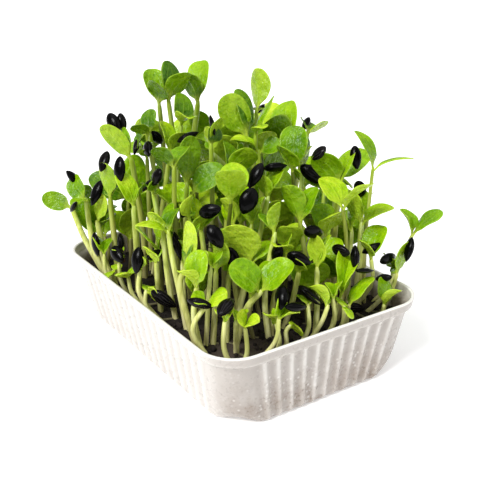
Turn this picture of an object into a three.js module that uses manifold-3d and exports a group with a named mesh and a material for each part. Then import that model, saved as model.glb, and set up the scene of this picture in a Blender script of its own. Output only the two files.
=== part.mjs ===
// Tray of sunflower microgreens: a ribbed thermoformed tray, its soil, the
// sprouts that grow in it and the seed hulls that still cling to them.
// Millimetres, +Z up. The origin is the middle of the tray's flat underside,
// X runs along the tray's short side and Y along its long side.
import * as THREE from "three";
import { mergeVertices } from "three/addons/utils/BufferGeometryUtils.js";
import Module from "manifold-3d";

// ---- driving dimensions -------------------------------------------------
const TRAY_HALF_X = 52.0; // half of the short side, outside the wall at the rim
const TRAY_HALF_Y = 70.5; // half of the long side, outside the wall at the rim
const TRAY_HEIGHT = 35.0;
const WALL_TAPER_X = 7.0; // how far a long wall leans in from the rim to the base
const WALL_TAPER_Y = 4.0; // how far a short wall leans in
const WALL_THICKNESS = 0.8;
const CORNER_RADIUS = 15.0; // plan radius of a corner
const RIM_BAND = 4.0; // height of the plain band under the rim
const RIM_PROUD = 0.9; // how far that band stands out from the wall
const BASE_FILLET = 3.0; // rounding between a wall and the base
const CORNER_FILLET = 10.0; // rounding between the middle of a corner and the base
const RIB_DEPTH = 0.9;
const RIBS_SHORT = 11; // vertical ribs on a short wall
const RIBS_LONG = 17; // vertical ribs on a long wall
const CORNER_STEPS = 4; // facets of each rounded corner

const SOIL_TOP = 24.0;
const SOIL_BOTTOM = 1.3;
const SOIL_GAP = 0.9; // clearance between soil and wall
const SOIL_FOOT_GAP = 0.7; // more clearance round the soil's rounded foot
const STEM_FOOT = 24.3; // stems start just clear of the soil

const BLADE_THICKNESS = 1.2; // seed leaves are thick and fleshy
const BLADE_ROOT = 1.4; // length of a blade's foot inside the stem's top
const STEM_FACET = 1.1; // a four-sided stem is drawn slightly larger than its round one
const STEM_OVERRUN = 0.8; // stem carried on past the fork
const STRAND_R = 0.75; // surface root that ties neighbouring stems together
const STRAND_Z = 25.2;
const JOIN_TOLERANCE = 0.1; // slivers left by the joins are cleared to this size
const WELD_SIZES = [0.06, 0.05, 0.04, 0.03, 0.02, 0.014, 0.01, 0.007, 0.004, 0.002, 0.001];
const THREAD_R = 0.55; // dried skin that ties a hull to its leaf

// ---- solids ---------------------------------------------------------------
const wasm = await Module();
wasm.setup();

function toSolid(geometry) {
  const g = geometry.index ? geometry.toNonIndexed() : geometry.clone();
  const bare = new THREE.BufferGeometry().setAttribute(
    "position",
    g.getAttribute("position"),
  );
  const merged = mergeVertices(bare, 1e-4);
  const index = merged.index.array;
  const tri = [];
  for (let i = 0; i < index.length; i += 3) {
    const [a, b, c] = [index[i], index[i + 1], index[i + 2]];
    if (a !== b && b !== c && c !== a) tri.push(a, b, c);
  }
  const make = (t) =>
    new wasm.Manifold(
      new wasm.Mesh({
        numProp: 3,
        vertProperties: new Float32Array(merged.attributes.position.array),
        triVerts: new Uint32Array(t),
      }),
    );
  const solid = make(tri);
  if (solid.volume() > 0) return solid;
  for (let i = 0; i < tri.length; i += 3)
    [tri[i + 1], tri[i + 2]] = [tri[i + 2], tri[i + 1]];
  return make(tri);
}

function toGeometry(solid) {
  const m = solid.getMesh();
  const g = new THREE.BufferGeometry();
  const xyz = new Float32Array(m.numVert * 3);
  for (let i = 0; i < m.numVert; i++)
    for (let k = 0; k < 3; k++)
      xyz[i * 3 + k] = m.vertProperties[i * m.numProp + k];
  g.setAttribute("position", new THREE.BufferAttribute(xyz, 3));
  g.setIndex(new THREE.BufferAttribute(new Uint32Array(m.triVerts), 1));
  g.computeVertexNormals();
  return g;
}

// A joined solid with its hair-fine edges welded shut. The widest weld that
// keeps one closed body of the same volume is taken.
function welded(solid) {
  const volume = solid.volume();
  for (const size of WELD_SIZES) {
    const m = mergeVertices(toGeometry(solid).deleteAttribute("normal"), size);
    const index = m.index.array;
    const edges = new Map();
    const tri = [];
    for (let i = 0; i < index.length; i += 3) {
      const [a, b, c] = [index[i], index[i + 1], index[i + 2]];
      if (a === b || b === c || c === a) continue;
      for (const [p, q] of [[a, b], [b, c], [c, a]]) {
        const key = p < q ? p + "," + q : q + "," + p;
        edges.set(key, (edges.get(key) ?? 0) + 1);
      }
      tri.push(a, b, c);
    }
    if ([...edges.values()].some((n) => n !== 2)) continue;
    try {
      const made = new wasm.Manifold(
        new wasm.Mesh({
          numProp: 3,
          vertProperties: new Float32Array(m.attributes.position.array),
          triVerts: new Uint32Array(tri),
        }),
      );
      if (
        Math.abs(made.volume() / volume - 1) < 0.002 &&
        made.decompose().length === 1
      )
        return made;
    } catch {
      continue;
    }
  }
  return solid;
}

const V = (a, i = 0) => new THREE.Vector3(a[i], a[i + 1], a[i + 2]);

// ---- tray -------------------------------------------------------------------
// Stations around the rounded rectangle: each is a side or corner position with
// its outward direction, and says whether a rib's ridge or valley falls on it.
function stations(ribsShort, ribsLong, cornerSteps) {
  const list = [];
  const sides = [
    { n: [1, 0], t: [0, 1], ribs: ribsLong },
    { n: [0, 1], t: [-1, 0], ribs: ribsShort },
    { n: [-1, 0], t: [0, -1], ribs: ribsLong },
    { n: [0, -1], t: [1, 0], ribs: ribsShort },
  ];
  sides.forEach((s, k) => {
    const count = s.ribs * 2;
    for (let i = 0; i <= count; i++)
      list.push({ s, f: (i / count) * 2 - 1, rib: i % 2 ? 1 : 0, angle: k * 90 });
    for (let i = 1; i < cornerSteps; i++)
      list.push({ corner: k, angle: k * 90 + (i / cornerSteps) * 90, rib: 0 });
  });
  return list;
}

// Plan position of a station at height z, moved in by an offset. The walls lean
// in towards the base.
function planPoint(st, z, offset) {
  const down = 1 - z / TRAY_HEIGHT;
  const hx = TRAY_HALF_X - WALL_TAPER_X * down - offset;
  const hy = TRAY_HALF_Y - WALL_TAPER_Y * down - offset;
  const r = Math.max(CORNER_RADIUS - offset, 2);
  if (st.s) {
    const { n, t } = st.s;
    const reach = Math.abs(n[0]) * hx + Math.abs(n[1]) * hy;
    const half = Math.abs(t[0]) * (hx - r) + Math.abs(t[1]) * (hy - r);
    return [n[0] * reach + t[0] * half * st.f, n[1] * reach + t[1] * half * st.f];
  }
  const a = THREE.MathUtils.degToRad(st.angle);
  const [sx, sy] = [[1, 1], [-1, 1], [-1, -1], [1, -1]][st.corner];
  return [sx * (hx - r) + r * Math.cos(a), sy * (hy - r) + r * Math.sin(a)];
}

// How far the rounding at the base draws a station in, h above that base. The
// rounding grows from the walls to the middle of each corner.
function baseInset(st, h) {
  const corner = st.s ? 0 : Math.sin(THREE.MathUtils.degToRad(st.angle * 2)) ** 2;
  const r = BASE_FILLET + (CORNER_FILLET - BASE_FILLET) * Math.sqrt(corner);
  return h < r ? r - Math.sqrt(r * r - (r - h) ** 2) : 0;
}

// A turned profile whose circle is carried onto that plan. Each row of the
// profile has a height, an offset in from the wall line, a share of the rib
// depth and the level of the base that it rounds into. Rows on the axis close
// the solid.
function trayTurning(rows, list) {
  const profile = rows.map(
    (row) => new THREE.Vector2(row.axis ? 0 : TRAY_HALF_X - row.offset, row.z),
  );
  const g = new THREE.LatheGeometry(profile, list.length);
  const p = g.getAttribute("position");
  for (let i = 0; i <= list.length; i++) {
    const st = list[i % list.length];
    rows.forEach((row, j) => {
      const k = i * rows.length + j;
      if (row.axis) {
        p.setXYZ(k, 0, 0, row.z);
        return;
      }
      const offset =
        row.offset +
        (st.rib ? 0 : 1) * RIB_DEPTH * (row.rib ?? 0) +
        (row.base === undefined ? 0 : baseInset(st, row.z - row.base));
      const [x, y] = planPoint(st, row.z, offset);
      p.setXYZ(k, x, y, row.z);
    });
  }
  return toSolid(g);
}

const bandZ = TRAY_HEIGHT - RIM_BAND;
const traySolid = trayTurning(
  [
    { axis: true, z: 0 },
    { z: 0, offset: 0, rib: 0.6, base: 0 },
    { z: 3, offset: 0, rib: 1, base: 0 },
    { z: 7, offset: 0, rib: 1, base: 0 },
    { z: bandZ - 1.2, offset: 0, rib: 1 },
    { z: bandZ, offset: -RIM_PROUD, rib: 0 },
    { z: TRAY_HEIGHT, offset: -RIM_PROUD, rib: 0 },
    { z: TRAY_HEIGHT, offset: WALL_THICKNESS - 0.2, rib: 0 },
    { z: bandZ, offset: WALL_THICKNESS - RIM_PROUD + 0.2, rib: 0 },
    { z: bandZ - 1.6, offset: WALL_THICKNESS, rib: 1 },
    { z: 7, offset: WALL_THICKNESS, rib: 1, base: WALL_THICKNESS },
    { z: 3, offset: WALL_THICKNESS, rib: 1, base: WALL_THICKNESS },
    { z: WALL_THICKNESS, offset: WALL_THICKNESS, rib: 0.6, base: WALL_THICKNESS },
    { axis: true, z: WALL_THICKNESS },
  ],
  stations(RIBS_SHORT, RIBS_LONG, CORNER_STEPS),
);

// ---- soil ---------------------------------------------------------------------
const soilOffset = WALL_THICKNESS + RIB_DEPTH + SOIL_GAP;
const soilSolid = trayTurning(
  [
    { axis: true, z: SOIL_BOTTOM },
    { z: SOIL_BOTTOM, offset: soilOffset + SOIL_FOOT_GAP, base: SOIL_BOTTOM },
    { z: SOIL_BOTTOM + 3, offset: soilOffset + SOIL_FOOT_GAP, base: SOIL_BOTTOM },
    { z: SOIL_BOTTOM + 10, offset: soilOffset },
    { z: SOIL_TOP, offset: soilOffset },
    { axis: true, z: SOIL_TOP },
  ],
  stations(2, 3, 3),
);

// ---- plant pieces ----------------------------------------------------------------
// A round strand of radius r swept along a smooth curve.
function strand(points, r, sides, steps) {
  const shape = new THREE.Shape();
  for (let i = 0; i < sides; i++) {
    const a = (i / sides) * Math.PI * 2;
    if (i) shape.lineTo(r * Math.cos(a), r * Math.sin(a));
    else shape.moveTo(r, 0);
  }
  shape.closePath();
  const path = new THREE.CatmullRomCurve3(points, false, "centripetal");
  return toSolid(
    new THREE.ExtrudeGeometry(shape, {
      steps,
      bevelEnabled: false,
      extrudePath: path,
    }),
  );
}

// Width of a seed leaf along its length: narrow foot, widest past the middle,
// blunt round tip.
function bladeWidth(t) {
  const u = Math.min(Math.max((t - 0.05) / 0.95, 0), 1);
  const f = (u ** 0.85 * (1 - u) ** 0.38) / 0.4675;
  return Math.max(f, t < 0.4 ? 0.2 : 0);
}

// A seed leaf: a flattened sphere drawn out from the fork to the tip, bowed
// towards its upper side.
const BLADE_FINE = [0, 0.3, 0.7, 0.94, 1];
const BLADE_PLAIN = [0, 0.32, 0.8, 1];
function blade(fork, tip, normal, width, bow, stationsAlong) {
  const axis = tip.clone().sub(fork);
  const length = axis.length();
  axis.normalize();
  const n = normal.clone().addScaledVector(axis, -normal.dot(axis)).normalize();
  const side = new THREE.Vector3().crossVectors(axis, n);
  const g = new THREE.SphereGeometry(1, 4, stationsAlong.length - 1);
  const p = g.getAttribute("position");
  const start = -BLADE_ROOT / length;
  for (let i = 0; i < p.count; i++) {
    const row = Math.round(
      (Math.acos(THREE.MathUtils.clamp(p.getY(i), -1, 1)) / Math.PI) *
        (stationsAlong.length - 1),
    );
    const s = stationsAlong[row];
    const t = row === 0 ? start : s;
    const ring = Math.hypot(p.getX(i), p.getZ(i)) || 1;
    const flat = row === 0 || s === 1 ? 0 : 1;
    const across = (p.getX(i) / ring) * flat * 0.5 * width * bladeWidth(s);
    const thick =
      (p.getZ(i) / ring) * flat * 0.5 * BLADE_THICKNESS * (s > 0.7 ? 0.85 : 1);
    const lift = bow * length * 4 * s * (1 - s);
    const q = fork
      .clone()
      .addScaledVector(axis, t * length)
      .addScaledVector(side, across)
      .addScaledVector(n, thick + lift);
    p.setXYZ(i, q.x, q.y, q.z);
  }
  return toSolid(g);
}

// A seed hull: a flattened teardrop between its two ends.
const HULL_STATIONS = [0, 0.22, 0.6, 1];
const HULL_SWELL = [0, 0.72, 1, 0];
function hull(v) {
  const a = V(v, 0);
  const b = V(v, 3);
  const axis = b.clone().sub(a);
  const length = axis.length();
  axis.normalize();
  const normal = V(v, 6);
  const n = normal.addScaledVector(axis, -normal.dot(axis)).normalize();
  const side = new THREE.Vector3().crossVectors(axis, n);
  const g = new THREE.SphereGeometry(1, 6, HULL_STATIONS.length - 1);
  const p = g.getAttribute("position");
  for (let i = 0; i < p.count; i++) {
    const row = Math.round(
      (Math.acos(THREE.MathUtils.clamp(p.getY(i), -1, 1)) / Math.PI) *
        (HULL_STATIONS.length - 1),
    );
    const ring = Math.hypot(p.getX(i), p.getZ(i)) || 1;
    const q = a
      .clone()
      .addScaledVector(axis, HULL_STATIONS[row] * length)
      .addScaledVector(side, (p.getX(i) / ring) * 0.5 * v[9] * HULL_SWELL[row])
      .addScaledVector(n, (p.getZ(i) / ring) * 0.5 * v[10] * HULL_SWELL[row]);
    p.setXYZ(i, q.x, q.y, q.z);
  }
  return toSolid(g);
}

// ---- the planting ------------------------------------------------------------
// One row per sprout. stem: points from the soil to the fork. blades: tip,
// upper-side normal, width and bow of each seed leaf. hulls: the two ends, flat
// normal, width and thickness of each hull that holds the seed leaves. plain:
// a sprout inside the stand, drawn with fewer facets.
const SPROUTS = [
  { r: 0.948, stem: [[-42.5,42.96,24.3],[-44.84,49.66,32.77],[-47.2,57.42,42.99],[-48.61,65.85,55.4]],
    blades: [[-57.65,76.25,58.73,0.607,0.666,-0.433,10.5,0.112],[-35.69,74.28,58.66,-0.565,0.814,0.135,9,0.068]],
    hulls: [] },
  { r: 0.948, stem: [[-42.5,39.1,24.3],[-46.57,45.39,36.73],[-46.98,49.14,49.14],[-46.48,52.47,62.34]],
    blades: [[-46.88,63.95,69.43,-0.865,-0.285,0.414,9,0.06],[-54.83,47.23,61.64,-0.132,0.078,0.988,7,0.087]],
    hulls: [[-44.45,64.02,66.62,-50.52,63.83,73.64,0.686,-0.438,0.581,6,3.9],[-55.87,42.05,65.27,-55.09,50.47,58.8,-0.676,0.487,0.553,4.6,2.71]], plain: true },
  { r: 0.948, stem: [[-42.5,34.07,24.3],[-44.78,39.82,34.72],[-44.41,43.47,44.43],[-44.3,46.76,52.79]],
    blades: [[-41.33,46.93,65.34,0.948,0.224,-0.227,8.5,0.086],[-34.09,50.2,58.08,-0.463,0.008,0.886,8,0.09]],
    hulls: [], plain: true },
  { r: 1.06, stem: [[-37.05,21.93,24.3],[-39.04,17.89,46.95],[-41.63,13.55,68.92]],
    blades: [[-44.48,19.98,82.73,0.103,-0.893,0.437,10,0.06],[-33.41,21.2,74.72,-0.7,0.244,0.671,8.5,0.129]],
    hulls: [[-42.72,22.11,89.58,-45.66,18.56,78.16,-0.902,-0.288,0.322,6,3.9]] },
  { r: 0.948, stem: [[-27.87,32.92,24.3],[-29.25,29.8,45.89],[-31.89,28.38,67.48],[-34.69,27.9,85.98]],
    blades: [[-43.18,36.26,99.28,0.705,0.709,0.005,10.5,0.054],[-33.12,39.45,95.81,-0.968,-0.072,0.239,9,0.053]],
    hulls: [[-31.15,43.56,102.41,-31.73,39.46,94.24,-0.424,-0.797,0.431,4.2,3.2]] },
  { r: 0.948, stem: [[-39.67,36.9,24.3],[-41.36,35.65,48.79],[-42.82,34.36,67.27]],
    blades: [[-43.45,37.62,82.53,0.91,0.411,-0.05,9,0.06],[-35.29,41.21,69.63,-0.461,0.209,0.863,8,0.091]],
    hulls: [[-40.16,40.2,87.13,-45.65,35.9,79.47,-0.773,-0.122,0.622,6,3.9]], plain: true },
  { r: 0.948, stem: [[-15.23,43.68,24.3],[-15.6,41.3,47.99],[-17.13,39.85,71.69],[-18.95,39,91.99]],
    blades: [[-16.48,44.62,101.64,-0.852,-0.328,0.409,9,0.065],[-27.29,39.08,96.87,0.398,0.625,0.672,8.5,0.105]],
    hulls: [], plain: true },
  { r: 0.948, stem: [[-3.6,52.63,24.3],[-7.19,51.59,46.98],[-10.23,52.81,69.65],[-12.6,54.82,89.09]],
    blades: [[-14.07,41.13,88.52,0.183,-0.061,0.981,7,0.06],[-15.66,59.95,80.57,-0.888,0.176,0.425,7,0.071]],
    hulls: [[-17.37,39.94,92.96,-11.87,41.92,85.56,-0.647,-0.463,-0.605,6,3.9],[-12.99,61.54,84.75,-18.96,55.95,78.08,-0.809,0.506,0.301,4.6,3.35]], plain: true },
  { r: 0.86, stem: [[-20.67,39.93,24.3],[-20.61,39.91,44.23],[-20.57,39.87,64.16],[-20.56,39.82,81.24]],
    blades: [[-23.13,32.61,88.03,-0.451,0.692,0.564,7,0.101],[-16.93,50.29,82.99,0.614,-0.332,0.716,7,0.109]],
    hulls: [[-21.46,38.49,88.29,-24.97,28.52,85.61,-0.887,0.2,0.417,6,3.9]], plain: true },
  { r: 0.948, stem: [[-28.61,-2.62,24.3],[-29.33,-0.3,46.18],[-28.58,1.7,68.06],[-27.31,3.27,86.81]],
    blades: [[-33.56,8.59,94.34,0.825,0.395,0.405,9,0.091],[-18.54,7.91,92.56,-0.564,0.045,0.825,9,0.12]],
    hulls: [], plain: true },
  { r: 0.92, stem: [[-5.78,49.49,24.3],[-6.52,47.11,52.19],[-8.31,45.86,80.07],[-10.3,45.27,103.97]],
    blades: [[-7.75,55.45,117.74,-0.077,-0.795,0.602,10,0.055],[-13.91,41.62,115.54,0.854,0.357,0.379,9.5,0.081]],
    hulls: [] },
  { r: 0.92, stem: [[0.22,44.27,24.3],[-1.97,42.02,53.06],[-4.69,41.64,81.83],[-7.26,42.11,106.49]],
    blades: [[-2.9,48.81,120.99,0.225,-0.909,0.352,9.5,0.115],[-0.75,35.55,118.23,0.112,0.893,0.437,9.5,0.08]],
    hulls: [] },
  { r: 1.1, stem: [[-0.76,50.26,24.3],[4.19,48.91,51.79],[6.89,45.31,79.28],[8.24,41.26,102.85]],
    blades: [[15.99,50.53,119.34,-0.724,-0.398,0.564,10,0.098],[3.71,44.01,115.52,0.835,0.517,0.187,9.5,0.101]],
    hulls: [] },
  { r: 0.948, stem: [[-13.91,31.47,24.3],[-11.47,32.58,49.79],[-9.19,32.03,75.28],[-7.3,30.86,97.13]],
    blades: [[-3.17,36.35,108.85,0.08,-0.913,0.4,9.5,0.085],[-9.29,20.35,102.25,0.269,0.38,0.885,9,0.069]],
    hulls: [], plain: true },
  { r: 0.948, stem: [[-22.21,35,24.3],[-18.31,34.76,45.53],[-15.75,32.5,66.76],[-14.12,29.69,84.96]],
    blades: [[-13.3,37.63,97.04,0.356,-0.792,0.496,9,0.067],[-8.69,22.57,94.03,0.166,0.822,0.545,9,0.104]],
    hulls: [], plain: true },
  { r: 0.948, stem: [[-22.43,0.23,24.3],[-22.59,3.15,42.88],[-21.12,5.26,61.45],[-19.17,6.72,77.37]],
    blades: [[-14.32,9.81,95.87,0.082,0.979,-0.185,10.5,0.103],[-18.95,17.67,86.76,0.388,-0.604,0.696,9,0.061]],
    hulls: [] },
  { r: 0.948, stem: [[-8.15,7.11,24.3],[-11.27,5.25,41.13],[-14.43,5.64,57.96],[-17.15,6.94,72.39]],
    blades: [[-6.36,-1.33,83.93,-0.796,-0.344,0.498,11,0.122],[-21.17,-1.84,64.8,0.537,-0.679,0.501,8,0.096]],
    hulls: [] },
  { r: 0.948, stem: [[24.14,24.2,24.3],[11.22,12.14,65.48],[5.25,9.97,77.21],[-4.13,10.05,87.53]],
    blades: [[-5.03,13.25,98.2,0.986,0.163,0.034,9,0.124],[4.01,15.23,92.83,-0.605,0.15,0.782,8.5,0.094]],
    hulls: [], plain: true },
  { r: 0.948, stem: [[-5.87,12.53,24.3],[-5.02,9.84,48.37],[-5.87,7.52,72.45],[-7.34,5.69,93.08]],
    blades: [[-5.56,6.73,99.85,0.275,-0.959,0.075,9,0.06],[-3.39,4.48,104.17,-0.404,0.882,0.24,8.5,0.08]],
    hulls: [[-4.15,11.23,104.24,-6.51,3.73,96.92,-0.852,0.477,-0.215,4.6,2.4]], plain: true },
  { r: 1.1, stem: [[9.32,3.34,24.3],[9.9,7.85,47.87],[12.74,10.66,71.45],[16.13,12.34,91.66]],
    blades: [[9.28,18.97,109.07,0.506,0.853,-0.126,14.8,0.053],[19.98,25.24,109.06,0.309,-0.795,0.521,10,0.12]],
    hulls: [] },
  { r: 0.948, stem: [[33.03,16.8,24.3],[30.21,17.87,50.8],[28.84,20.13,77.3],[28.29,22.56,100.01]],
    blades: [[31.81,28.56,117.26,0.968,0.098,-0.232,9.5,0.11],[36.68,29.45,99.04,0.017,0.119,0.993,8,0.052]],
    hulls: [[35.27,30.72,96.56,32.99,22.76,101.73,0.532,-0.563,-0.633,4.6,2.84]], plain: true },
  { r: 0.948, stem: [[13.77,5.4,24.3],[14.71,6.9,48.65],[16.17,7.43,73],[17.64,7.47,93.87]],
    blades: [[28.76,9.35,107.95,-0.75,0.381,0.541,8.5,0.06],[15.41,-0.87,99.12,0.012,0.53,0.848,8,0.127]],
    hulls: [], plain: true },
  { r: 1.06, stem: [[42.5,7.94,24.3],[40.73,5.37,46.51],[38.41,5.05,68.71],[36.19,5.74,87.75]],
    blades: [[25.23,8.86,97.55,0.479,0.836,0.269,12,0.092],[42.67,17.8,102.84,-0.767,-0.298,0.568,12,0.12]],
    hulls: [] },
  { r: 0.948, stem: [[-4.05,1.21,24.3],[-3.24,1.19,43.84],[-2.68,0.74,63.39],[-2.32,0.16,80.14]],
    blades: [[-0.11,4.93,93.03,0.389,-0.884,0.261,9,0.105],[5.3,-7.75,90.65,0.377,0.85,0.367,10.5,0.078]],
    hulls: [], plain: true },
  { r: 0.948, stem: [[20.06,3.47,24.3],[18.81,2.75,46.13],[17.56,2.91,67.97],[16.48,3.44,86.68]],
    blades: [[5.95,9.31,92.02,0.309,-0.274,0.911,9,0.123],[23.02,-4.09,89.23,-0.536,-0.188,0.823,9.5,0.062]],
    hulls: [], plain: true },
  { r: 0.948, stem: [[28.2,-5.43,24.3],[30.03,-6.93,43.81],[30.5,-8.96,63.31],[30.31,-10.93,80.03]],
    blades: [[32.3,-4.86,95.28,0.401,-0.868,0.293,9,0.11],[30.87,-13.94,90.71,-0.361,0.892,0.271,8.5,0.115]],
    hulls: [], plain: true },
  { r: 0.948, stem: [[39.26,17.12,24.3],[44.12,15.71,47.21],[46.72,12.13,70.11],[47.99,8.12,89.75]],
    blades: [[58.78,8.14,92.53,-0.178,0.706,0.686,8,0.051],[52.63,17.87,91.89,0.403,-0.375,0.835,7.5,0.1]],
    hulls: [[55.47,16.9,93.65,47,10.66,90.31,-0.64,0.649,0.412,4.6,3.8]], plain: true },
  { r: 0.948, stem: [[27.54,-40.02,24.3],[28.2,-36.54,43.28],[30.53,-34.48,62.25],[33.25,-33.33,78.52]],
    blades: [[25.74,-25.72,90.44,0.818,0.551,0.164,12,0.06],[39.88,-31.23,91.51,-0.914,0.202,0.351,9,0.06]],
    hulls: [[27.04,-29.91,94.11,24.88,-22.93,87.99,-0.784,0.253,0.566,6,3.9],[40.73,-32.35,93.61,39.46,-36.09,84.14,-0.641,-0.681,0.355,4.9,3.9]], plain: true },
  { r: 0.948, stem: [[39.65,-20.76,24.3],[40.06,-21.37,42.17],[40.02,-22.01,60.04],[39.79,-22.58,75.36]],
    blades: [[39.75,-32.52,76.2,0.686,0.059,0.726,7,0.126],[55.615,-23.501,86.561,-0.554,-0.356,0.753,11.549,0.096]],
    hulls: [], plain: true },
  { r: 0.948, stem: [[29.4,-28.51,24.3],[29.34,-26.63,41.1],[30.31,-25.3,57.9],[31.59,-24.39,72.31]],
    blades: [[26.74,-19.45,83.7,0.925,0.25,0.285,9,0.086],[33.915,-14.596,82.124,-0.258,-0.653,0.712,11.668,0.128]],
    hulls: [], plain: true },
  { r: 0.948, stem: [[38.85,-46.05,24.3],[39.13,-44.09,52.25],[40.6,-43.75,74.64],[41.39,-43.73,86.4]],
    blades: [[39.81,-35.65,100.76,0.327,-0.808,0.49,9.5,0.122],[55.57,-51.89,89.51,-0.097,0.202,0.975,9,0.109]],
    hulls: [] },
  { r: 0.948, stem: [[35.03,-47.02,24.3],[39.07,-42.21,44.54],[42.43,-37.65,62.94]],
    blades: [[43.14,-35.33,74.07,0.996,-0.075,-0.048,8.5,0.083],[50.72,-33.05,70.61,-0.713,0.541,0.446,8,0.124]],
    hulls: [[40.43,-37.3,79.17,43.89,-34.14,70.39,-0.853,-0.283,-0.438,6,3.9]], plain: true },
  { r: 0.948, stem: [[35.12,-44.24,24.3],[33.09,-46.79,46.69],[31.41,-49.04,65.6]],
    blades: [[43.58,-54.17,71.73,-0.407,0.129,0.904,9,0.092],[29.42,-40.35,78.04,0.991,0.07,0.111,9,0.126]],
    hulls: [], plain: true },
  { r: 0.948, stem: [[31.98,-42.56,24.3],[36.11,-38.57,41.58],[39.48,-34.94,56.65]],
    blades: [[30.12,-29.62,59.8,0.539,0.598,0.593,8.5,0.104],[45.55,-29.9,67.46,-0.876,0.354,0.327,8,0.107]],
    hulls: [], plain: true },
  { r: 0.948, stem: [[30,-47,24.3],[34.77,-53.83,38.11],[31.87,-55.8,52.03]],
    blades: [[39.1,-52.45,63.68,-0.827,-0.124,0.549,10,0.066],[26.47,-56.09,61.43,0.86,-0.141,0.49,8,0.054]],
    hulls: [[29.93,-52.28,53.52,34.92,-58.52,58.98,0.139,-0.587,-0.798,4.6,3.74],[26,-46.66,27.2,33,-52.94,27.2,-0.599,-0.668,0.443,4.4,3]], plain: true },
  { r: 0.948, stem: [[42,-47,24.3],[49.03,-51.47,34.42],[52.47,-53.51,46.73],[55.83,-55.64,57.4]],
    blades: [[53.74,-49.56,66.96,0.316,-0.768,0.557,9,0.117],[66.02,-60.42,67.24,-0.624,0.216,0.751,10,0.059]],
    hulls: [] },
  { r: 0.948, stem: [[39.64,-56.27,24.3],[41.7,-59.06,35.01],[42.56,-60.92,43.91]],
    blades: [[49.16,-60.63,56.43,-0.161,0.985,0.062,8.5,0.103],[51.43,-54.74,45.05,-0.484,0.572,0.662,7,0.075]],
    hulls: [[50.22,-60.47,58.86,45.92,-62.29,49.1,-0.827,0.493,0.272,6,3.9]], plain: true },
  { r: 0.948, stem: [[7.33,-60,24.3],[11.03,-58.56,32.63],[14.58,-57.71,39.5]],
    blades: [[18.7,-52.78,57.08,0.22,-0.951,0.215,9,0.06],[20.67,-58.27,54.45,-0.886,0.279,0.371,9,0.055]],
    hulls: [[17.8,-47.13,56.41,19.3,-56.55,57.53,-0.955,-0.18,-0.236,6,3.9],[22,-56.32,60.33,19.78,-59.57,50.53,-0.881,0.472,0.043,6,3.9]], plain: true },
  { r: 0.948, stem: [[15.66,-60.5,24.3],[15.52,-60.96,30.97],[15.64,-61.61,37.15]],
    blades: [[25.7,-63.5,47.36,-0.659,0.274,0.7,8.5,0.108],[23.67,-58.82,43.41,-0.643,0.435,0.631,8,0.059]],
    hulls: [], plain: true },
  { r: 0.948, stem: [[30.27,-60.49,24.3],[32.82,-63.5,28.91],[32.49,-64.62,33.67]],
    blades: [[35.2,-69.84,41.9,0.037,0.849,0.527,7.5,0.092],[38.34,-58.55,42.34,0.173,-0.858,0.484,8.5,0.06]],
    hulls: [[37.86,-53.44,39.98,38.67,-61.96,43.91,-0.141,-0.426,-0.894,4.6,3.81]], plain: true },
  { r: 0.948, stem: [[35,-52,24.3],[44.79,-54.75,33.44],[47.98,-53.04,42.46]],
    blades: [[40.87,-56.04,50.4,0.735,0.047,0.676,7.5,0.07],[56.84,-46.86,43.82,-0.49,0.555,0.673,7,0.07]],
    hulls: [[36.04,-57.49,50.71,46.65,-55.03,48.66,0.105,-0.863,-0.494,6,3.9]], plain: true },
  { r: 1.1, stem: [[-22.97,-37.21,24.3],[-20.16,-34.81,34.59],[-16.92,-34.66,44.88],[-13.97,-35.5,53.7]],
    blades: [[-22.84,-32.83,70.85,0.697,0.669,0.257,15,0.053],[-4.56,-32.08,60.49,-0.592,0.029,0.805,11,0.097]],
    hulls: [] },
  { r: 1.06, stem: [[-28.61,-44.74,24.3],[-25.73,-47.55,40.77],[-20.87,-51.43,49.24]],
    blades: [[-30.3,-43.92,59.46,0.095,-0.758,0.645,12.5,0.052],[-10.49,-57.27,59.82,-0.73,-0.064,0.681,12,0.075]],
    hulls: [] },
  { r: 0.948, stem: [[-13.53,-26.97,24.3],[-14.6,-23.4,38.24],[-13.41,-20.36,52.18],[-11.43,-17.97,64.13]],
    blades: [[-14.76,-13.26,74.5,0.955,0.208,0.212,8.5,0.115],[-7.99,-9.87,74.89,-0.969,0.137,0.207,8.5,0.103]],
    hulls: [], plain: true },
  { r: 0.948, stem: [[17.04,-35.82,24.3],[14.53,-36.56,38.85],[12.4,-35.73,53.39],[10.73,-34.33,65.86]],
    blades: [[7.81,-28.05,80.03,0.917,0.399,0.012,11,0.096],[19.75,-31.78,78.38,-0.814,0.03,0.58,10,0.053]],
    hulls: [] },
  { r: 0.948, stem: [[-14.61,-47.89,24.3],[-13.26,-42.94,38.9],[-9.66,-40.24,53.51],[-5.61,-38.89,66.03]],
    blades: [[-5.25,-39.4,78.89,-0.161,0.986,0.043,10,0.118],[-5.61,-30.52,72.5,0.465,-0.542,0.7,8.5,0.054]],
    hulls: [], plain: true },
  { r: 1.06, stem: [[-42.5,-37.78,24.3],[-43.86,-31.15,39.09],[-43.61,-27.35,49.39],[-40.6,-27.22,55.09]],
    blades: [[-37.15,-23.78,72.34,0.98,0.003,-0.197,9.5,0.059],[-30.57,-22.02,69.1,-0.829,0.244,0.503,9,0.1]],
    hulls: [] },
  { r: 0.948, stem: [[-42.5,-40.95,24.3],[-44.31,-38.72,38.88],[-42.78,-38.97,52.35]],
    blades: [[-40.52,-37.96,65.66,-0.942,-0.282,0.182,10,0.119],[-50.23,-38.36,59.49,0.661,0.36,0.658,8,0.114]],
    hulls: [], plain: true },
  { r: 0.948, stem: [[-37.85,-21.99,24.3],[-38.49,-17.41,41.07],[-39.1,-13.56,55.11],[-39.17,-11.06,65.31]],
    blades: [[-50.28,-5.59,69.02,0.268,-0.106,0.958,9,0.121],[-32.7,-8.47,73.18,-0.787,0.157,0.596,9,0.066]],
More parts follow.
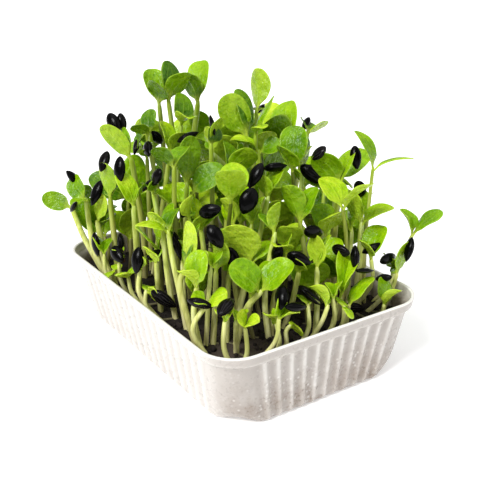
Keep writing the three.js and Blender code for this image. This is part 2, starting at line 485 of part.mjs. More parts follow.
    hulls: [], plain: true },
  { r: 0.948, stem: [[-27.21,-12.83,24.3],[-28.23,-12.57,39.88],[-28.79,-11.84,55.47],[-29.08,-11.01,68.82]],
    blades: [[-29.8,-13.42,78.78,-0.403,0.896,0.188,8,0.058],[-26.25,-0.58,68.64,0.463,-0.11,0.879,7,0.103]],
    hulls: [[-26.97,-1.67,66.41,-27.82,-9.87,72.6,0.47,-0.562,-0.68,4.6,3.34]], plain: true },
  { r: 0.948, stem: [[-38.66,-1.41,24.3],[-40.95,-3.93,38.8],[-42.76,-6.37,50.75]],
    blades: [[-48.26,-8.58,59.09,0.806,0.153,0.572,8,0.076],[-35.7,1.01,51.96,-0.543,0.398,0.739,8,0.108]],
    hulls: [[-45.62,-4.01,52.87,-36.24,-1.67,52.09,0.12,-0.711,-0.693,6,3.9]], plain: true },
  { r: 0.948, stem: [[-36.66,-10.8,24.3],[-38.35,-9.21,37.78],[-38.67,-7.2,51.27],[-38.35,-5.29,62.83]],
    blades: [[-42.39,-3.99,72.07,0.897,0.263,0.355,8.5,0.063],[-31.89,1.25,71.92,-0.859,0.183,0.478,8.5,0.052]],
    hulls: [], plain: true },
  { r: 0.948, stem: [[-35.79,-38.85,24.3],[-32.23,-35.12,39.68],[-29.39,-31.7,53.06]],
    blades: [[-29.78,-33.16,67.08,0.984,0.171,0.045,9,0.06],[-21.73,-25.93,57.06,-0.653,0.438,0.618,8,0.08]],
    hulls: [], plain: true },
  { r: 0.948, stem: [[-0.91,-60.5,24.3],[3.12,-56.31,38.48],[6.28,-51.69,52.35]],
    blades: [[8.4,-48.42,64.72,0.983,0.035,-0.178,9.5,0.058],[14.85,-48.31,63.24,-0.777,0.4,0.487,8.5,0.08]],
    hulls: [[2.23,-48.23,69.03,11.66,-47.65,64.17,-0.135,-0.919,-0.371,6,3.9]], plain: true },
  { r: 0.948, stem: [[-13.28,-21.17,24.3],[-10.5,-22.57,39.12],[-9.32,-25.04,53.94],[-9.01,-27.61,66.65]],
    blades: [[-11.46,-26.06,77.1,0.887,0.44,0.143,10,0.08],[-0.94,-24.67,75.95,-0.77,0.211,0.602,8.5,0.08]],
    hulls: [], plain: true },
  { r: 0.948, stem: [[-7.04,-23.41,24.3],[-3.87,-21.65,42.22],[-0.72,-22.14,60.14],[1.96,-23.52,75.5]],
    blades: [[-1.95,-20.99,84.69,0.919,0.212,0.333,9,0.087],[8.81,-23.11,85.94,-0.824,0.191,0.533,8.5,0.057]],
    hulls: [], plain: true },
  { r: 0.948, stem: [[-21.7,-9.2,24.3],[-21.98,-11.81,38.14],[-23.58,-13.46,51.98],[-25.52,-14.47,63.85]],
    blades: [[-26.07,-19.48,72.95,-0.184,0.866,0.466,8.5,0.056],[-16.52,-12.05,68.74,-0.511,0.218,0.831,8,0.111]],
    hulls: [], plain: true },
  { r: 0.948, stem: [[-30.6,-40.71,24.3],[-27.01,-35.91,36.29],[-22.49,-30.69,50.07]],
    blades: [[-23.74,-34.82,59.75,-0.299,0.891,0.341,8.5,0.057],[-18.96,-20.85,50.12,0.577,-0.211,0.789,7,0.123]],
    hulls: [[-24.55,-33.9,62.64,-22.39,-35.64,52.76,-0.823,-0.562,-0.081,6,3.9]], plain: true },
  { r: 0.948, stem: [[-12.12,-46.34,24.3],[-9.6,-43.44,36.01],[-6.29,-42.78,47.72],[-3.12,-43.18,57.76]],
    blades: [[-10.86,-46.67,64.23,0.5,0.355,0.79,8,0.1],[4.39,-35.98,59.76,-0.63,0.489,0.603,8,0.065]],
    hulls: [[-9.34,-47.91,64.72,-9.51,-43.07,55.76,-0.998,0.039,0.04,6,3.9]], plain: true },
  { r: 0.948, stem: [[-3.5,-43.21,24.3],[-1.43,-44.89,33.85],[-0.9,-47.17,43.4],[-1.11,-49.38,51.59]],
    blades: [[-6.01,-52.72,60.49,0.86,0.083,0.504,8.5,0.107],[7.8,-43.91,53.63,-0.429,0.395,0.813,8,0.058]],
    hulls: [[-7.87,-49.97,61.26,-0.91,-56.5,57.61,-0.715,-0.686,-0.138,6,3.9]], plain: true },
  { r: 0.948, stem: [[-5.81,-60.5,24.3],[-1.16,-63.69,33.86],[1.14,-65.35,42.29]],
    blades: [[-3.65,-60.9,50.07,0.878,0.151,0.454,8,0.104],[2.88,-59.31,46.41,0.528,-0.577,0.623,7,0.08]],
    hulls: [], plain: true },
  { r: 0.948, stem: [[-29,-60,24.3],[-22.86,-63.03,32.66],[-21.08,-62.93,42.43]],
    blades: [[-19.78,-62.21,51.08,0.337,-0.941,0.028,8,0.071],[-15.42,-67.92,45.46,-0.238,0.292,0.926,7.5,0.093]],
    hulls: [[-18.06,-60.44,54.54,-22.46,-65.89,47.45,-0.825,-0.063,0.562,6,3.9]], plain: true },
  { r: 0.948, stem: [[-23,-60,24.3],[-19.25,-60.87,29.23],[-18.86,-58.14,38.01]],
    blades: [[-24.22,-58.82,42.88,0.603,0.358,0.713,6,0.06],[-16.31,-52.04,39.08,-0.925,0.377,0.045,6,0.065]],
    hulls: [], plain: true },
  { r: 1.06, stem: [[-38.99,-56.99,24.3],[-41.26,-55.33,32.28],[-40.85,-55.55,44.19]],
    blades: [[-40.47,-59.07,50.55,-0.9,0.356,0.252,7,0.13],[-45.33,-57.74,49.32,0.678,0.24,0.695,6,0.125]],
    hulls: [] },
  { r: 1.06, stem: [[-42.5,-45.16,24.3],[-46.91,-42.12,35.88],[-42.01,-45.56,47.53]],
    blades: [[-36.87,-50.97,51.67,-0.547,0.114,0.829,9,0.101],[-48.15,-44.02,50.29,0.307,-0.356,0.882,8,0.065]],
    hulls: [[-49.54,-42.65,49.7,-41.66,-49.23,47.24,-0.586,-0.451,-0.673,6,3.9]] },
  { r: 0.948, stem: [[-34,-57.5,24.3],[-32.71,-58.37,29.24],[-33.39,-57.96,40.07]],
    blades: [[-31.14,-63.24,44.22,-0.499,0.395,0.771,7,0.108],[-36.46,-58.42,46.65,0.607,-0.761,0.229,7,0.086]],
    hulls: [] },
  { r: 1.14, stem: [[-32,-50,24.3],[-33.7,-52.42,32.87],[-35.39,-54.83,41.44]],
    blades: [[-29.71,-51.93,43.71,-0.508,0.397,0.764,7,0.053],[-33.65,-48.82,43.97,0.637,-0.448,0.627,7,0.118]],
    hulls: [], plain: true },
  { r: 0.948, stem: [[-17.6,-59.58,24.3],[-15.1,-59.98,27.52],[-14.19,-58.61,32.42],[-12.46,-58.87,34.67]],
    blades: [[-11.01,-65.29,33.97,0.858,0.141,0.494,6,0.094],[-6.79,-56.22,30.94,0.597,-0.175,0.783,5,0.108]],
    hulls: [], plain: true },
  { r: 0.94, stem: [[-10.41,-60.5,24.3],[-5.44,-61.53,31.96],[-4.12,-59.41,41.77]],
    blades: [[-3.07,-52.91,42.84,0.435,-0.214,0.875,7,0.124],[2.15,-56.61,43.34,-0.394,0.425,0.815,7,0.081]],
    hulls: [], plain: true },
  { r: 0.88, stem: [[-42.5,26.01,24.3],[-44.82,28.35,26.89],[-45.29,30.63,33.67]],
    blades: [[-40.98,31.73,35.44,-0.392,0.056,0.918,6.5,0.129],[-50.06,26.05,33.12,-0.325,0.229,0.918,6,0.062]],
    hulls: [], plain: true },
  { r: 0.98, stem: [[-42.5,7.71,24.3],[-45.45,11.21,29.31],[-46.06,13.93,37.13]],
    blades: [[-51.27,11.86,40.67,0.297,0.566,0.769,7,0.124],[-41.09,17.53,39.86,-0.591,0.232,0.772,7,0.06]],
    hulls: [], plain: true },
  { r: 0.98, stem: [[-42.5,-8.95,24.3],[-46.96,-4.5,29.85],[-46.34,-3.09,37.1]],
    blades: [[-43.52,-10.94,36.47,0.893,0.293,0.34,7.5,0.06],[-41.26,1.04,35.55,0.107,0.231,0.967,6,0.096]],
    hulls: [[-46.41,-7.76,38.95,-39.19,-15.7,32.75,-0.754,-0.656,-0.036,6,3.9]], plain: true },
  { r: 1.06, stem: [[-42.5,-5.06,24.3],[-47.61,0.16,34.28],[-46.48,1.24,45.25]],
    blades: [[-48.46,2.22,51.82,0.948,0.183,0.26,8,0.123],[-41.97,3.89,49.67,-0.735,0.147,0.662,8,0.067]],
    hulls: [[-45.76,2.55,55.16,-49.19,-0.24,44.64,-0.822,-0.425,0.38,6,3.9]], plain: true },
  { r: 0.948, stem: [[-42.5,22.02,24.3],[-45.49,22.37,32.35],[-46.59,21.09,41.38]],
    blades: [[-48.52,21.3,48,0.932,0.248,0.264,7.5,0.075],[-43.19,24.21,47.19,-0.879,0.083,0.469,7.5,0.075]],
    hulls: [[-47.59,25.17,47.89,-46.9,15.34,44,-0.836,-0.251,0.488,6,3.9],[-42.94,25.95,53.27,-44.36,22.3,43.79,-0.906,0.422,-0.027,4.6,3.55]], plain: true },
  { r: 0.948, stem: [[-36.73,-18.85,24.3],[-33.99,-13.64,36.07],[-31.27,-8.03,48.54]],
    blades: [[-32.33,-5.35,57.91,0.994,0.057,0.096,8,0.13],[-25.08,-4.53,53.69,-0.704,0.301,0.643,8,0.121]],
    hulls: [[-32.2,-3.77,61.14,-32.41,-9.08,49.94,-0.889,0.421,-0.183,4.6,3.78]], plain: true },
  { r: 0.948, stem: [[-24.97,10.15,24.3],[-28.2,10.62,41.44],[-30.19,12.69,58.57],[-31.35,15.14,73.26]],
    blades: [[-32.49,8.93,81.44,-0.348,0.769,0.536,8,0.06],[-28.93,25.94,73.54,0.504,-0.135,0.853,7,0.053]],
    hulls: [[-32.57,5.03,85.97,-33.81,11.18,77.97,-0.958,0.135,0.252,6,3.9],[-30.34,19.4,76.93,-29.96,27.14,70.13,-0.618,0.536,0.575,4.6,2.64]], plain: true },
  { r: 0.98, stem: [[3.14,-60.5,24.3],[6.45,-63.32,32.8],[5.35,-63.35,42.94]],
    blades: [[11.32,-60.89,48.32,-0.696,0.429,0.576,7,0.064],[6,-58.54,48.37,0.503,-0.676,0.539,7,0.119]],
    hulls: [], plain: true },
  { r: 0.98, stem: [[10.9,-60.5,24.3],[11.49,-63.1,31.23],[10.1,-64.78,39.1]],
    blades: [[7.96,-70.89,38.27,0.492,-0.284,0.823,6,0.104],[12.2,-58.58,40.04,0.483,-0.289,0.826,6,0.071]],
    hulls: [], plain: true },
  { r: 0.88, stem: [[-42.5,29.4,24.3],[-47.03,33.58,31.01],[-47.15,35.16,40.45]],
    blades: [[-47.58,41.62,47.74,0.628,-0.564,0.536,8,0.1],[-41.68,39.43,46.15,-0.763,0.132,0.633,8,0.093]],
    hulls: [[-48.73,40.93,50.18,-49.62,36.39,39.62,-0.992,0.123,0.031,6,3.9]], plain: true },
  { r: 0.948, stem: [[-38.55,-37.95,24.3],[-37.47,-38.22,42.41],[-36.24,-38.88,58.26]],
    blades: [[-35.25,-33.81,62.98,0.581,-0.613,0.536,8,0.12],[-30.56,-36.61,62.84,-0.669,0.304,0.678,8,0.064]],
    hulls: [], plain: true },
  { r: 0.908, stem: [[-29.74,44.88,24.3],[-28.89,45.21,30.86],[-28.36,45.41,36.6],[-28.06,45.52,40.7]],
    blades: [[-31.8,54.16,50.85,0.292,-0.673,0.68,9.23,0.052],[-29.05,41.59,56.43,0.237,0.939,0.25,10.49,0.067]],
    hulls: [], plain: true },
  { r: 0.908, stem: [[42.4,-6.78,24.3],[43.89,-6.88,31.1],[43.13,-6.76,37.06],[41.75,-6.59,41.31]],
    blades: [[54.818,-4.066,42.446,0.105,-0.804,0.585,12.295,0.084],[37.19,-8.2,56.23,0.898,0.316,0.308,11.17,0.11]],
    hulls: [], plain: true },
  { r: 0.908, stem: [[21.1,-6.77,24.3],[18.68,-7.23,35.42],[18.01,-9.36,45.15],[18.13,-11.59,52.1]],
    blades: [[27.12,-8.9,62.99,-0.726,-0.217,0.653,11.16,0.085],[13.55,-15.25,67.21,0.728,0.582,0.362,10.01,0.067]],
    hulls: [], plain: true },
  { r: 0.908, stem: [[8.64,-7.74,24.3],[11.49,-7.52,33.89],[11.93,-8.38,42.28],[11.4,-9.43,48.27]],
    blades: [[13.06,-0.66,58.24,-0.138,-0.732,0.667,10.99,0.101],[12.21,-17.04,59.4,-0.086,0.82,0.566,9.64,0.056]],
    hulls: [], plain: true },
  { r: 0.908, stem: [[11.44,45.66,24.3],[10.47,46.96,34.32],[10.37,46.33,43.1],[10.61,45.15,49.36]],
    blades: [[10,40.59,63.61,0.126,0.943,0.307,10.97,0.095],[14.85,47.5,62.8,-0.822,-0.456,0.34,8.79,0.089]],
    hulls: [], plain: true },
  { r: 0.908, stem: [[23.88,-34.55,24.3],[24.96,-35.03,37.73],[24.82,-35.16,49.48],[24.28,-35.14,57.88]],
    blades: [[24.23,-29.7,68.14,0.007,-0.884,0.468,10.05,0.058],[22.79,-45.22,69.79,0.111,0.752,0.65,8.87,0.111]],
    hulls: [], plain: true },
  { r: 0.908, stem: [[13.92,-26.83,24.3],[17.9,-24.02,47.93],[18.6,-21.11,68.61],[17.94,-18.84,83.38]],
    blades: [[21.61,-15.48,99.08,-0.702,-0.645,0.303,9.6,0.053],[12.29,-18.99,93.41,0.871,0.022,0.491,10.61,0.073]],
    hulls: [], plain: true },
  { r: 0.908, stem: [[24.33,36.23,24.3],[23.9,37.03,45.55],[24.78,37.58,64.14],[25.94,37.93,77.42]],
    blades: [[26.36,42.89,89.24,-0.078,-0.918,0.388,10.46,0.094],[22.56,30.24,90.91,0.341,0.777,0.529,11.03,0.085]],
    hulls: [], plain: true },
  { r: 0.908, stem: [[-6.63,-31.35,24.3],[-8.17,-30.32,31.38],[-8.11,-30.62,37.58],[-7.49,-31.33,42]],
    blades: [[-10.44,-34.49,52.99,0.635,0.68,0.366,9.92,0.076],[0.3,-26.73,50.9,-0.604,-0.357,0.713,9.73,0.11]],
    hulls: [], plain: true },
  { r: 0.908, stem: [[18.1,38.82,24.3],[15.45,37.74,43.7],[12.79,37.9,60.68],[10.75,38.49,72.8]],
    blades: [[2.34,35.46,86.38,0.786,0.282,0.55,10.93,0.088],[15.28,41.26,86.72,-0.797,-0.488,0.356,9.03,0.076]],
    hulls: [], plain: true },
  { r: 0.908, stem: [[-12.47,20.11,24.3],[-12.45,21.11,38.42],[-13.49,20.98,50.77],[-14.67,20.47,59.59]],
    blades: [[-18.61,12.18,67.34,0.277,0.583,0.764,9,0.058],[-12.17,30.2,68.22,-0.162,-0.631,0.759,10.22,0.057]],
    hulls: [], plain: true },
  { r: 0.908, stem: [[20.39,-49.75,24.3],[22.33,-51.89,44.39],[22.1,-50.71,61.97],[21.13,-48.6,74.53]],
    blades: [[23.81,-59.81,85.02,-0.157,0.655,0.74,9.09,0.062],[20.24,-38.21,83.28,0.055,-0.64,0.766,10.34,0.108]],
    hulls: [], plain: true },
  { r: 0.908, stem: [[11.23,51.61,24.3],[13.48,52.79,46.85],[15.68,53.14,66.59],[17.34,53.1,80.68]],
    blades: [[14.5,50.81,94.95,0.755,0.607,0.248,8.75,0.081],[8.316,61.116,88.002,-0.386,-0.82,0.422,11.612,0.091]],
    hulls: [], plain: true },
  { r: 0.908, stem: [[26.84,10.72,24.3],[27.96,8.24,37.6],[27.98,7.02,49.24],[27.59,6.53,57.55]],
    blades: [[22.39,2.41,67.76,0.657,0.521,0.545,10.29,0.108],[36.55,11.5,69.96,-0.674,-0.374,0.637,8.95,0.068]],
    hulls: [], plain: true },
  { r: 0.908, stem: [[9.83,30.19,24.3],[11.48,25.15,45],[10.28,22.26,63.11],[8.33,20.81,76.05]],
    blades: [[15.87,28.57,86.12,-0.475,-0.489,0.732,9.86,0.103],[6.5,16.81,90.41,0.397,0.87,0.293,9.17,0.063]],
    hulls: [], plain: true },
  { r: 0.908, stem: [[38.77,23.97,24.3],[37.5,25.53,41.54],[37.46,24.59,56.62],[37.88,22.97,67.39]],
    blades: [[37.94,33.31,77.71,-0.004,-0.706,0.708,9.94,0.099],[37.7,18.87,78.76,0.04,0.94,0.339,9.93,0.055]],
    hulls: [], plain: true },
  { r: 0.908, stem: [[-15.48,52.28,24.3],[-16.08,50.49,33.18],[-15.83,50.33,40.95],[-15.33,50.79,46.5]],
    blades: [[-12.59,55.09,62.06,-0.511,-0.801,0.311,8.93,0.117],[-16.96,46.76,59.66,0.356,0.88,0.314,9.24,0.094]],
    hulls: [], plain: true },
  { r: 0.908, stem: [[23.36,51.67,24.3],[22.91,50.99,32.93],[22.42,49.87,40.48],[22.04,48.86,45.87]],
    blades: [[30.38,51.13,59.47,-0.814,-0.222,0.536,10.14,0.091],[14.64,46.89,58.05,0.818,0.218,0.532,9.55,0.091]],
    hulls: [], plain: true },
  { r: 0.908, stem: [[4.71,-31,24.3],[6.66,-30.29,34.55],[6.98,-31.07,43.51],[6.64,-32.2,49.92]],
    blades: [[4.14,-35.97,64.14,0.526,0.795,0.303,8.69,0.086],[14.63,-27.4,60.29,-0.637,-0.383,0.669,9.59,0.11]],
    hulls: [], plain: true },
  { r: 0.908, stem: [[0.96,-4.42,24.3],[1.88,-5.28,37.77],[1.29,-5.8,49.56],[0.3,-6.08,57.97]],
    blades: [[3.99,-5.81,72.39,-0.966,-0.069,0.248,10.28,0.106],[-3.78,-7.55,72.38,0.901,0.325,0.289,10.75,0.081]],
    hulls: [], plain: true },
  { r: 0.908, stem: [[-24.67,18.62,24.3],[-23.73,18.48,31.29],[-22.55,18.25,37.4],[-21.56,18.03,41.77]],
    blades: [[-25.1,10.79,53.32,0.361,0.736,0.572,9.52,0.106],[-21.99,27.87,53.73,0.034,-0.771,0.636,9.11,0.066]],
    hulls: [], plain: true },
  { r: 0.908, stem: [[38.83,41.21,24.3],[40.11,42.32,46.39],[40.96,42.45,65.72],[41.45,42.2,79.53]],
    blades: [[34.77,39.45,91.52,0.792,0.326,0.516,9.77,0.088],[53.556,43.337,94.288,-0.76,-0.138,0.634,10.98,0.112]],
    hulls: [], plain: true },
  { r: 0.908, stem: [[38.95,-12,24.3],[36.91,-11.55,35.92],[36.9,-12.92,46.1],[37.63,-14.63,53.36]],
    blades: [[48.79,-12.07,64.97,-0.694,-0.159,0.702,10.08,0.108],[28.45,-21.46,61.57,0.468,0.348,0.813,10.28,0.053]],
    hulls: [], plain: true },
  { r: 0.908, stem: [[-34.64,59.76,24.3],[-34.28,57.76,30.07],[-34.31,59.3,35.12],[-34.47,61.77,38.73]],
    blades: [[-43.179,69.087,53.905,-0.081,-0.915,0.395,12.182,0.059],[-29.19,63.49,49.55,-0.846,-0.276,0.457,8.99,0.057]],
    hulls: [], plain: true },
  { r: 0.908, stem: [[3.08,58.25,24.3],[2.99,58.14,38.13],[2.31,57.42,50.24],[1.57,56.65,58.88]],
    blades: [[-3.174,68.501,63.072,-0.502,-0.46,0.733,11.351,0.075],[-3.71,61.98,71.16,0.6,-0.606,0.522,9.44,0.104]],
    hulls: [], plain: true },
  { r: 0.908, stem: [[40.79,30.16,24.3],[36.68,31.15,38.01],[34.63,32.23,50],[33.8,33.09,58.57]],
    blades: [[30.9,28.89,70.11,0.52,0.753,0.404,9.86,0.074],[39.81,40.79,68.77,-0.444,-0.569,0.692,9.83,0.059]],
    hulls: [], plain: true },
  { r: 0.908, stem: [[39.81,50.64,24.3],[41.51,48.6,41.93],[42.35,48.42,57.36],[42.67,48.95,68.38]],
    blades: [[55.814,35.466,65.23,-0.496,-0.625,0.603,11.588,0.113],[38.62,47.07,79.75,0.844,0.392,0.366,10.76,0.106]],
    hulls: [], plain: true },
  { r: 0.908, stem: [[-7.49,55.84,24.3],[-8.28,57.82,45.87],[-7.99,57.9,64.74],[-7.37,57.27,78.22]],
    blades: [[-10.6,54.42,93.62,0.722,0.637,0.269,10.72,0.069],[-14.65,71.704,78.099,-0.297,-0.142,0.944,10.829,0.053]],
    hulls: [], plain: true },
  { r: 0.908, stem: [[37.67,-2.39,24.3],[37.58,-1.05,41.06],[38.55,-0.79,55.73],[39.67,-0.98,66.21]],
    blades: [[44.51,-0.98,79.19,-0.937,0.001,0.349,10.8,0.098],[32.89,0.21,77.79,0.847,-0.148,0.511,8.82,0.076]],
    hulls: [], plain: true },
  { r: 0.908, stem: [[-19.1,-43.39,24.3],[-20.45,-42.47,31.33],[-20.07,-42.29,37.49],[-19.16,-42.41,41.88]],
    blades: [[-12.77,-43.16,54.79,-0.889,0.103,0.447,8.9,0.063],[-24.38,-41.2,54.44,0.896,-0.208,0.392,10.54,0.056]],
    hulls: [], plain: true },
  { r: 0.908, stem: [[-5.94,20.34,24.3],[-5.87,22.05,33.78],[-6.25,22.83,42.07],[-6.7,23.08,48]],
    blades: [[-8.68,28.1,60.88,0.339,-0.858,0.387,10.68,0.074],[5.332,29.123,61.03,-0.434,-0.595,0.677,11.538,0.066]],
    hulls: [], plain: true },
  { r: 0.908, stem: [[-3.68,24.69,24.3],[-1.78,27.38,41.59],[-1.52,27.76,56.71],[-1.92,27.21,67.52]],
    blades: [[-1.07,19.44,80.3,-0.093,0.848,0.522,10.05,0.12],[-5.06,29.88,79.78,0.722,-0.614,0.319,9.35,0.117]],
    hulls: [], plain: true },
  { r: 0.908, stem: [[-18.66,60.5,24.3],[-18.86,62.83,31.83],[-18,62.69,38.42],[-16.95,61.69,43.13]],
    blades: [[-10.44,69.12,54.02,-0.488,-0.557,0.672,8.79,0.118],[-21.29,55.96,56.1,0.528,0.697,0.485,9.84,0.057]],
    hulls: [], plain: true },
  { r: 0.908, stem: [[20.41,-42.04,24.3],[21.57,-41.71,30.73],[20.99,-42.35,36.36],[19.91,-43.18,40.39]],
    blades: [[25.26,-40.18,55.06,-0.805,-0.451,0.386,8.76,0.086],[16.44,-43.68,51.56,0.944,0.136,0.299,10.7,0.1]],
    hulls: [], plain: true },
  { r: 0.908, stem: [[23.25,60.5,24.3],[22.67,58.63,38.4],[23.88,58.12,50.74],[25.45,58.21,59.55]],
    blades: [[17.73,57.77,69.4,0.785,0.045,0.618,10.1,0.117],[29.12,59.31,73.98,-0.926,-0.278,0.257,9.7,0.097]],
    hulls: [], plain: true },
  { r: 0.908, stem: [[-34.04,5.49,24.3],[-34.88,4.12,34.41],[-35.24,3.99,43.25],[-35.34,4.35,49.57]],
    blades: [[-44.4,5.83,60.48,0.755,-0.123,0.644,9.48,0.058],[-31.52,3.04,64.57,-0.914,0.313,0.26,9.43,0.113]],
    hulls: [], plain: true },
  { r: 0.908, stem: [[42.5,-26.36,24.3],[45.47,-24.26,31.92],[45.89,-24.93,38.59],[45.29,-26.45,43.35]],
    blades: [[42.65,-28.28,55.08,0.791,0.551,0.264,10.69,0.051],[48.9,-23.59,58.25,-0.749,-0.593,0.295,10.95,0.074]],
    hulls: [], plain: true },
  { r: 0.908, stem: [[39.14,55.87,24.3],[39.84,55.64,34.18],[38.35,55.78,42.82],[36.41,56.01,49]],
    blades: [[52.767,45.923,51.704,-0.526,-0.742,0.415,11.448,0.081],[37.03,48.16,61.55,-0.067,0.844,0.532,10.01,0.07]],
    hulls: [], plain: true },
  { r: 0.908, stem: [[7.1,-46.4,24.3],[5.99,-46.39,30.35],[6.76,-46.22,35.65],[8.03,-46.04,39.44]],
    blades: [[8.58,-36.17,50.47,-0.041,-0.743,0.667,10.28,0.089],[6.28,-49.23,52.2,0.462,0.843,0.274,10.97,0.111]],
    hulls: [], plain: true },
  { r: 0.908, stem: [[-15.86,15.28,24.3],[-16.73,16.91,37.15],[-17.25,17.8,48.4],[-17.53,18.22,56.43]],
    blades: [[-10.19,11.76,62.81,-0.41,0.361,0.838,8.91,0.076],[-24.07,22.44,69.3,0.719,-0.463,0.518,9.49,0.054]],
    hulls: [], plain: true },
  { r: 0.908, stem: [[28.07,14.76,24.3],[26.19,13.97,46.95],[24.55,12.35,66.76],[23.37,10.81,80.92]],
    blades: [[23.23,16.25,92.7,0.022,-0.908,0.419,10.98,0.076],[22.83,7.8,92.43,0.171,0.951,0.257,11.1,0.105]],
    hulls: [], plain: true },
  { r: 0.908, stem: [[-17.9,-19.73,24.3],[-17.14,-20.01,45.35],[-16.83,-21.78,63.77],[-16.75,-23.69,76.93]],
    blades: [[-21.48,-29.38,91.05,0.566,0.681,0.464,9.72,0.066],[-9.89,-15.77,88.82,-0.491,-0.567,0.661,9.33,0.102]],
    hulls: [], plain: true },
  { r: 0.908, stem: [[-34.22,-22.54,24.3],[-34.53,-22.48,29.97],[-33.34,-23.03,34.94],[-31.89,-23.67,38.48]],
    blades: [[-30.38,-28.15,49.5,-0.293,0.871,0.395,10.57,0.067],[-32.83,-20.62,49.88,0.285,-0.92,0.269,10.81,0.088]],
    hulls: [], plain: true },
  { r: 0.908, stem: [[9.37,59.14,24.3],[13.19,59.15,33.73],[15.07,59.31,41.99],[15.8,59.47,47.88]],
    blades: [[20.53,56.8,61.74,-0.81,0.459,0.365,9.32,0.098],[9.75,63.85,57.92,0.65,-0.47,0.597,9.49,0.063]],
    hulls: [], plain: true },
  { r: 0.908, stem: [[-4.09,-11.75,24.3],[-3.32,-10.97,33.62],[-5.4,-11.69,41.78],[-8.02,-12.79,47.6]],
    blades: [[-17.93,-14.53,54.11,0.534,0.094,0.84,11.01,0.054],[2.9,-14.48,56.05,-0.6,0.093,0.794,9.77,0.057]],
    hulls: [], plain: true },
  { r: 0.908, stem: [[19.19,30.22,24.3],[20.94,29.99,39.34],[22.58,28.99,52.5],[23.8,27.94,61.9]],
    blades: [[12.71,31.47,71.53,0.607,-0.194,0.771,10.91,0.106],[30.15,28.55,75.71,-0.903,-0.087,0.42,9.2,0.118]],
    hulls: [], plain: true },
  { r: 0.908, stem: [[10.56,12.04,24.3],[9.09,13.13,39.99],[6.31,14.06,53.73],[3.71,14.71,63.53]],
    blades: [[4.88,21.1,77.71,-0.163,-0.894,0.417,9.2,0.108],[3.3,3.01,72.27,0.021,0.598,0.802,8.65,0.086]],
    hulls: [], plain: true },
  { r: 0.908, stem: [[23.17,41.46,24.3],[25.7,42.51,38.51],[27.58,43.41,50.95],[28.79,44.04,59.83]],
    blades: [[25.62,39.64,70.18,0.518,0.718,0.464,9.64,0.118],[35.843,48.663,75.955,-0.133,-0.936,0.327,10.885,0.066]],
    hulls: [], plain: true },
  { r: 0.908, stem: [[2.86,5.21,24.3],[2.8,3.44,34.54],[2.48,3.64,43.51],[2.15,4.5,49.91]],
    blades: [[3.68,-1.73,64.49,-0.219,0.889,0.403,9.8,0.064],[-0.28,10.15,64,0.362,-0.842,0.4,10.96,0.093]],
    hulls: [], plain: true },
  { r: 0.908, stem: [[-9.7,-5.85,24.3],[-7.95,-4.29,31.95],[-7.83,-3.86,38.64],[-8.33,-3.93,43.42]],
    blades: [[-4.96,-2.1,54.74,-0.833,-0.451,0.32,10.36,0.092],[-11.78,-8.54,55.64,0.542,0.724,0.426,9.89,0.109]],
    hulls: [], plain: true },
  { r: 0.908, stem: [[-24.97,50.49,24.3],[-25.76,52.69,37.62],[-24.93,53.94,49.28],[-23.71,54.55,57.6]],
    blades: [[-37.166,62.728,67.955,-0.062,-0.821,0.568,12.404,0.108],[-16.158,59.837,74.427,-0.171,-0.915,0.364,10.983,0.096]],
    hulls: [], plain: true },
  { r: 0.908, stem: [[-40.21,55.56,24.3],[-39.08,53.63,32.78],[-39.93,53.48,40.2],[-41.29,54.01,45.5]],
    blades: [[-42.43,57.89,58.79,0.27,-0.918,0.291,9.07,0.113],[-36.75,46.1,52.88,-0.313,0.545,0.778,8.88,0.063]],
    hulls: [], plain: true },
];
// The seed leaf that each hull clings to, or -1 where it lies against the stem.
const HULL_ON = [[],[0,1],[],[0],[1],[0],[],[0,1],[0],[],[],[],[],[],[],[],[],[],[0],[],[1],[],[],[],[],[],[1],[0,1],[],[],[],[0],[],[],[0,-1],[],[0],[0,1],[],[1],[0],[],[],[],[],[],[],[],[],[1],[1],[],[],[0],[],[],[],[0],[0],[0],[],[0],[],[],[1],[],[],[],[],[],[],[0],[0],[0,1],[0],[0,1],[],[],[0],[],[],[],[],[],[],[],[],[],[],[],[],[],[],[],[],[],[],[],[],[],[],[],[],[],[],[],[],[],[],[],[],[],[],[],[],[],[],[],[],[],[],[],[],[],[],[],[],[],[],[],[],[]];
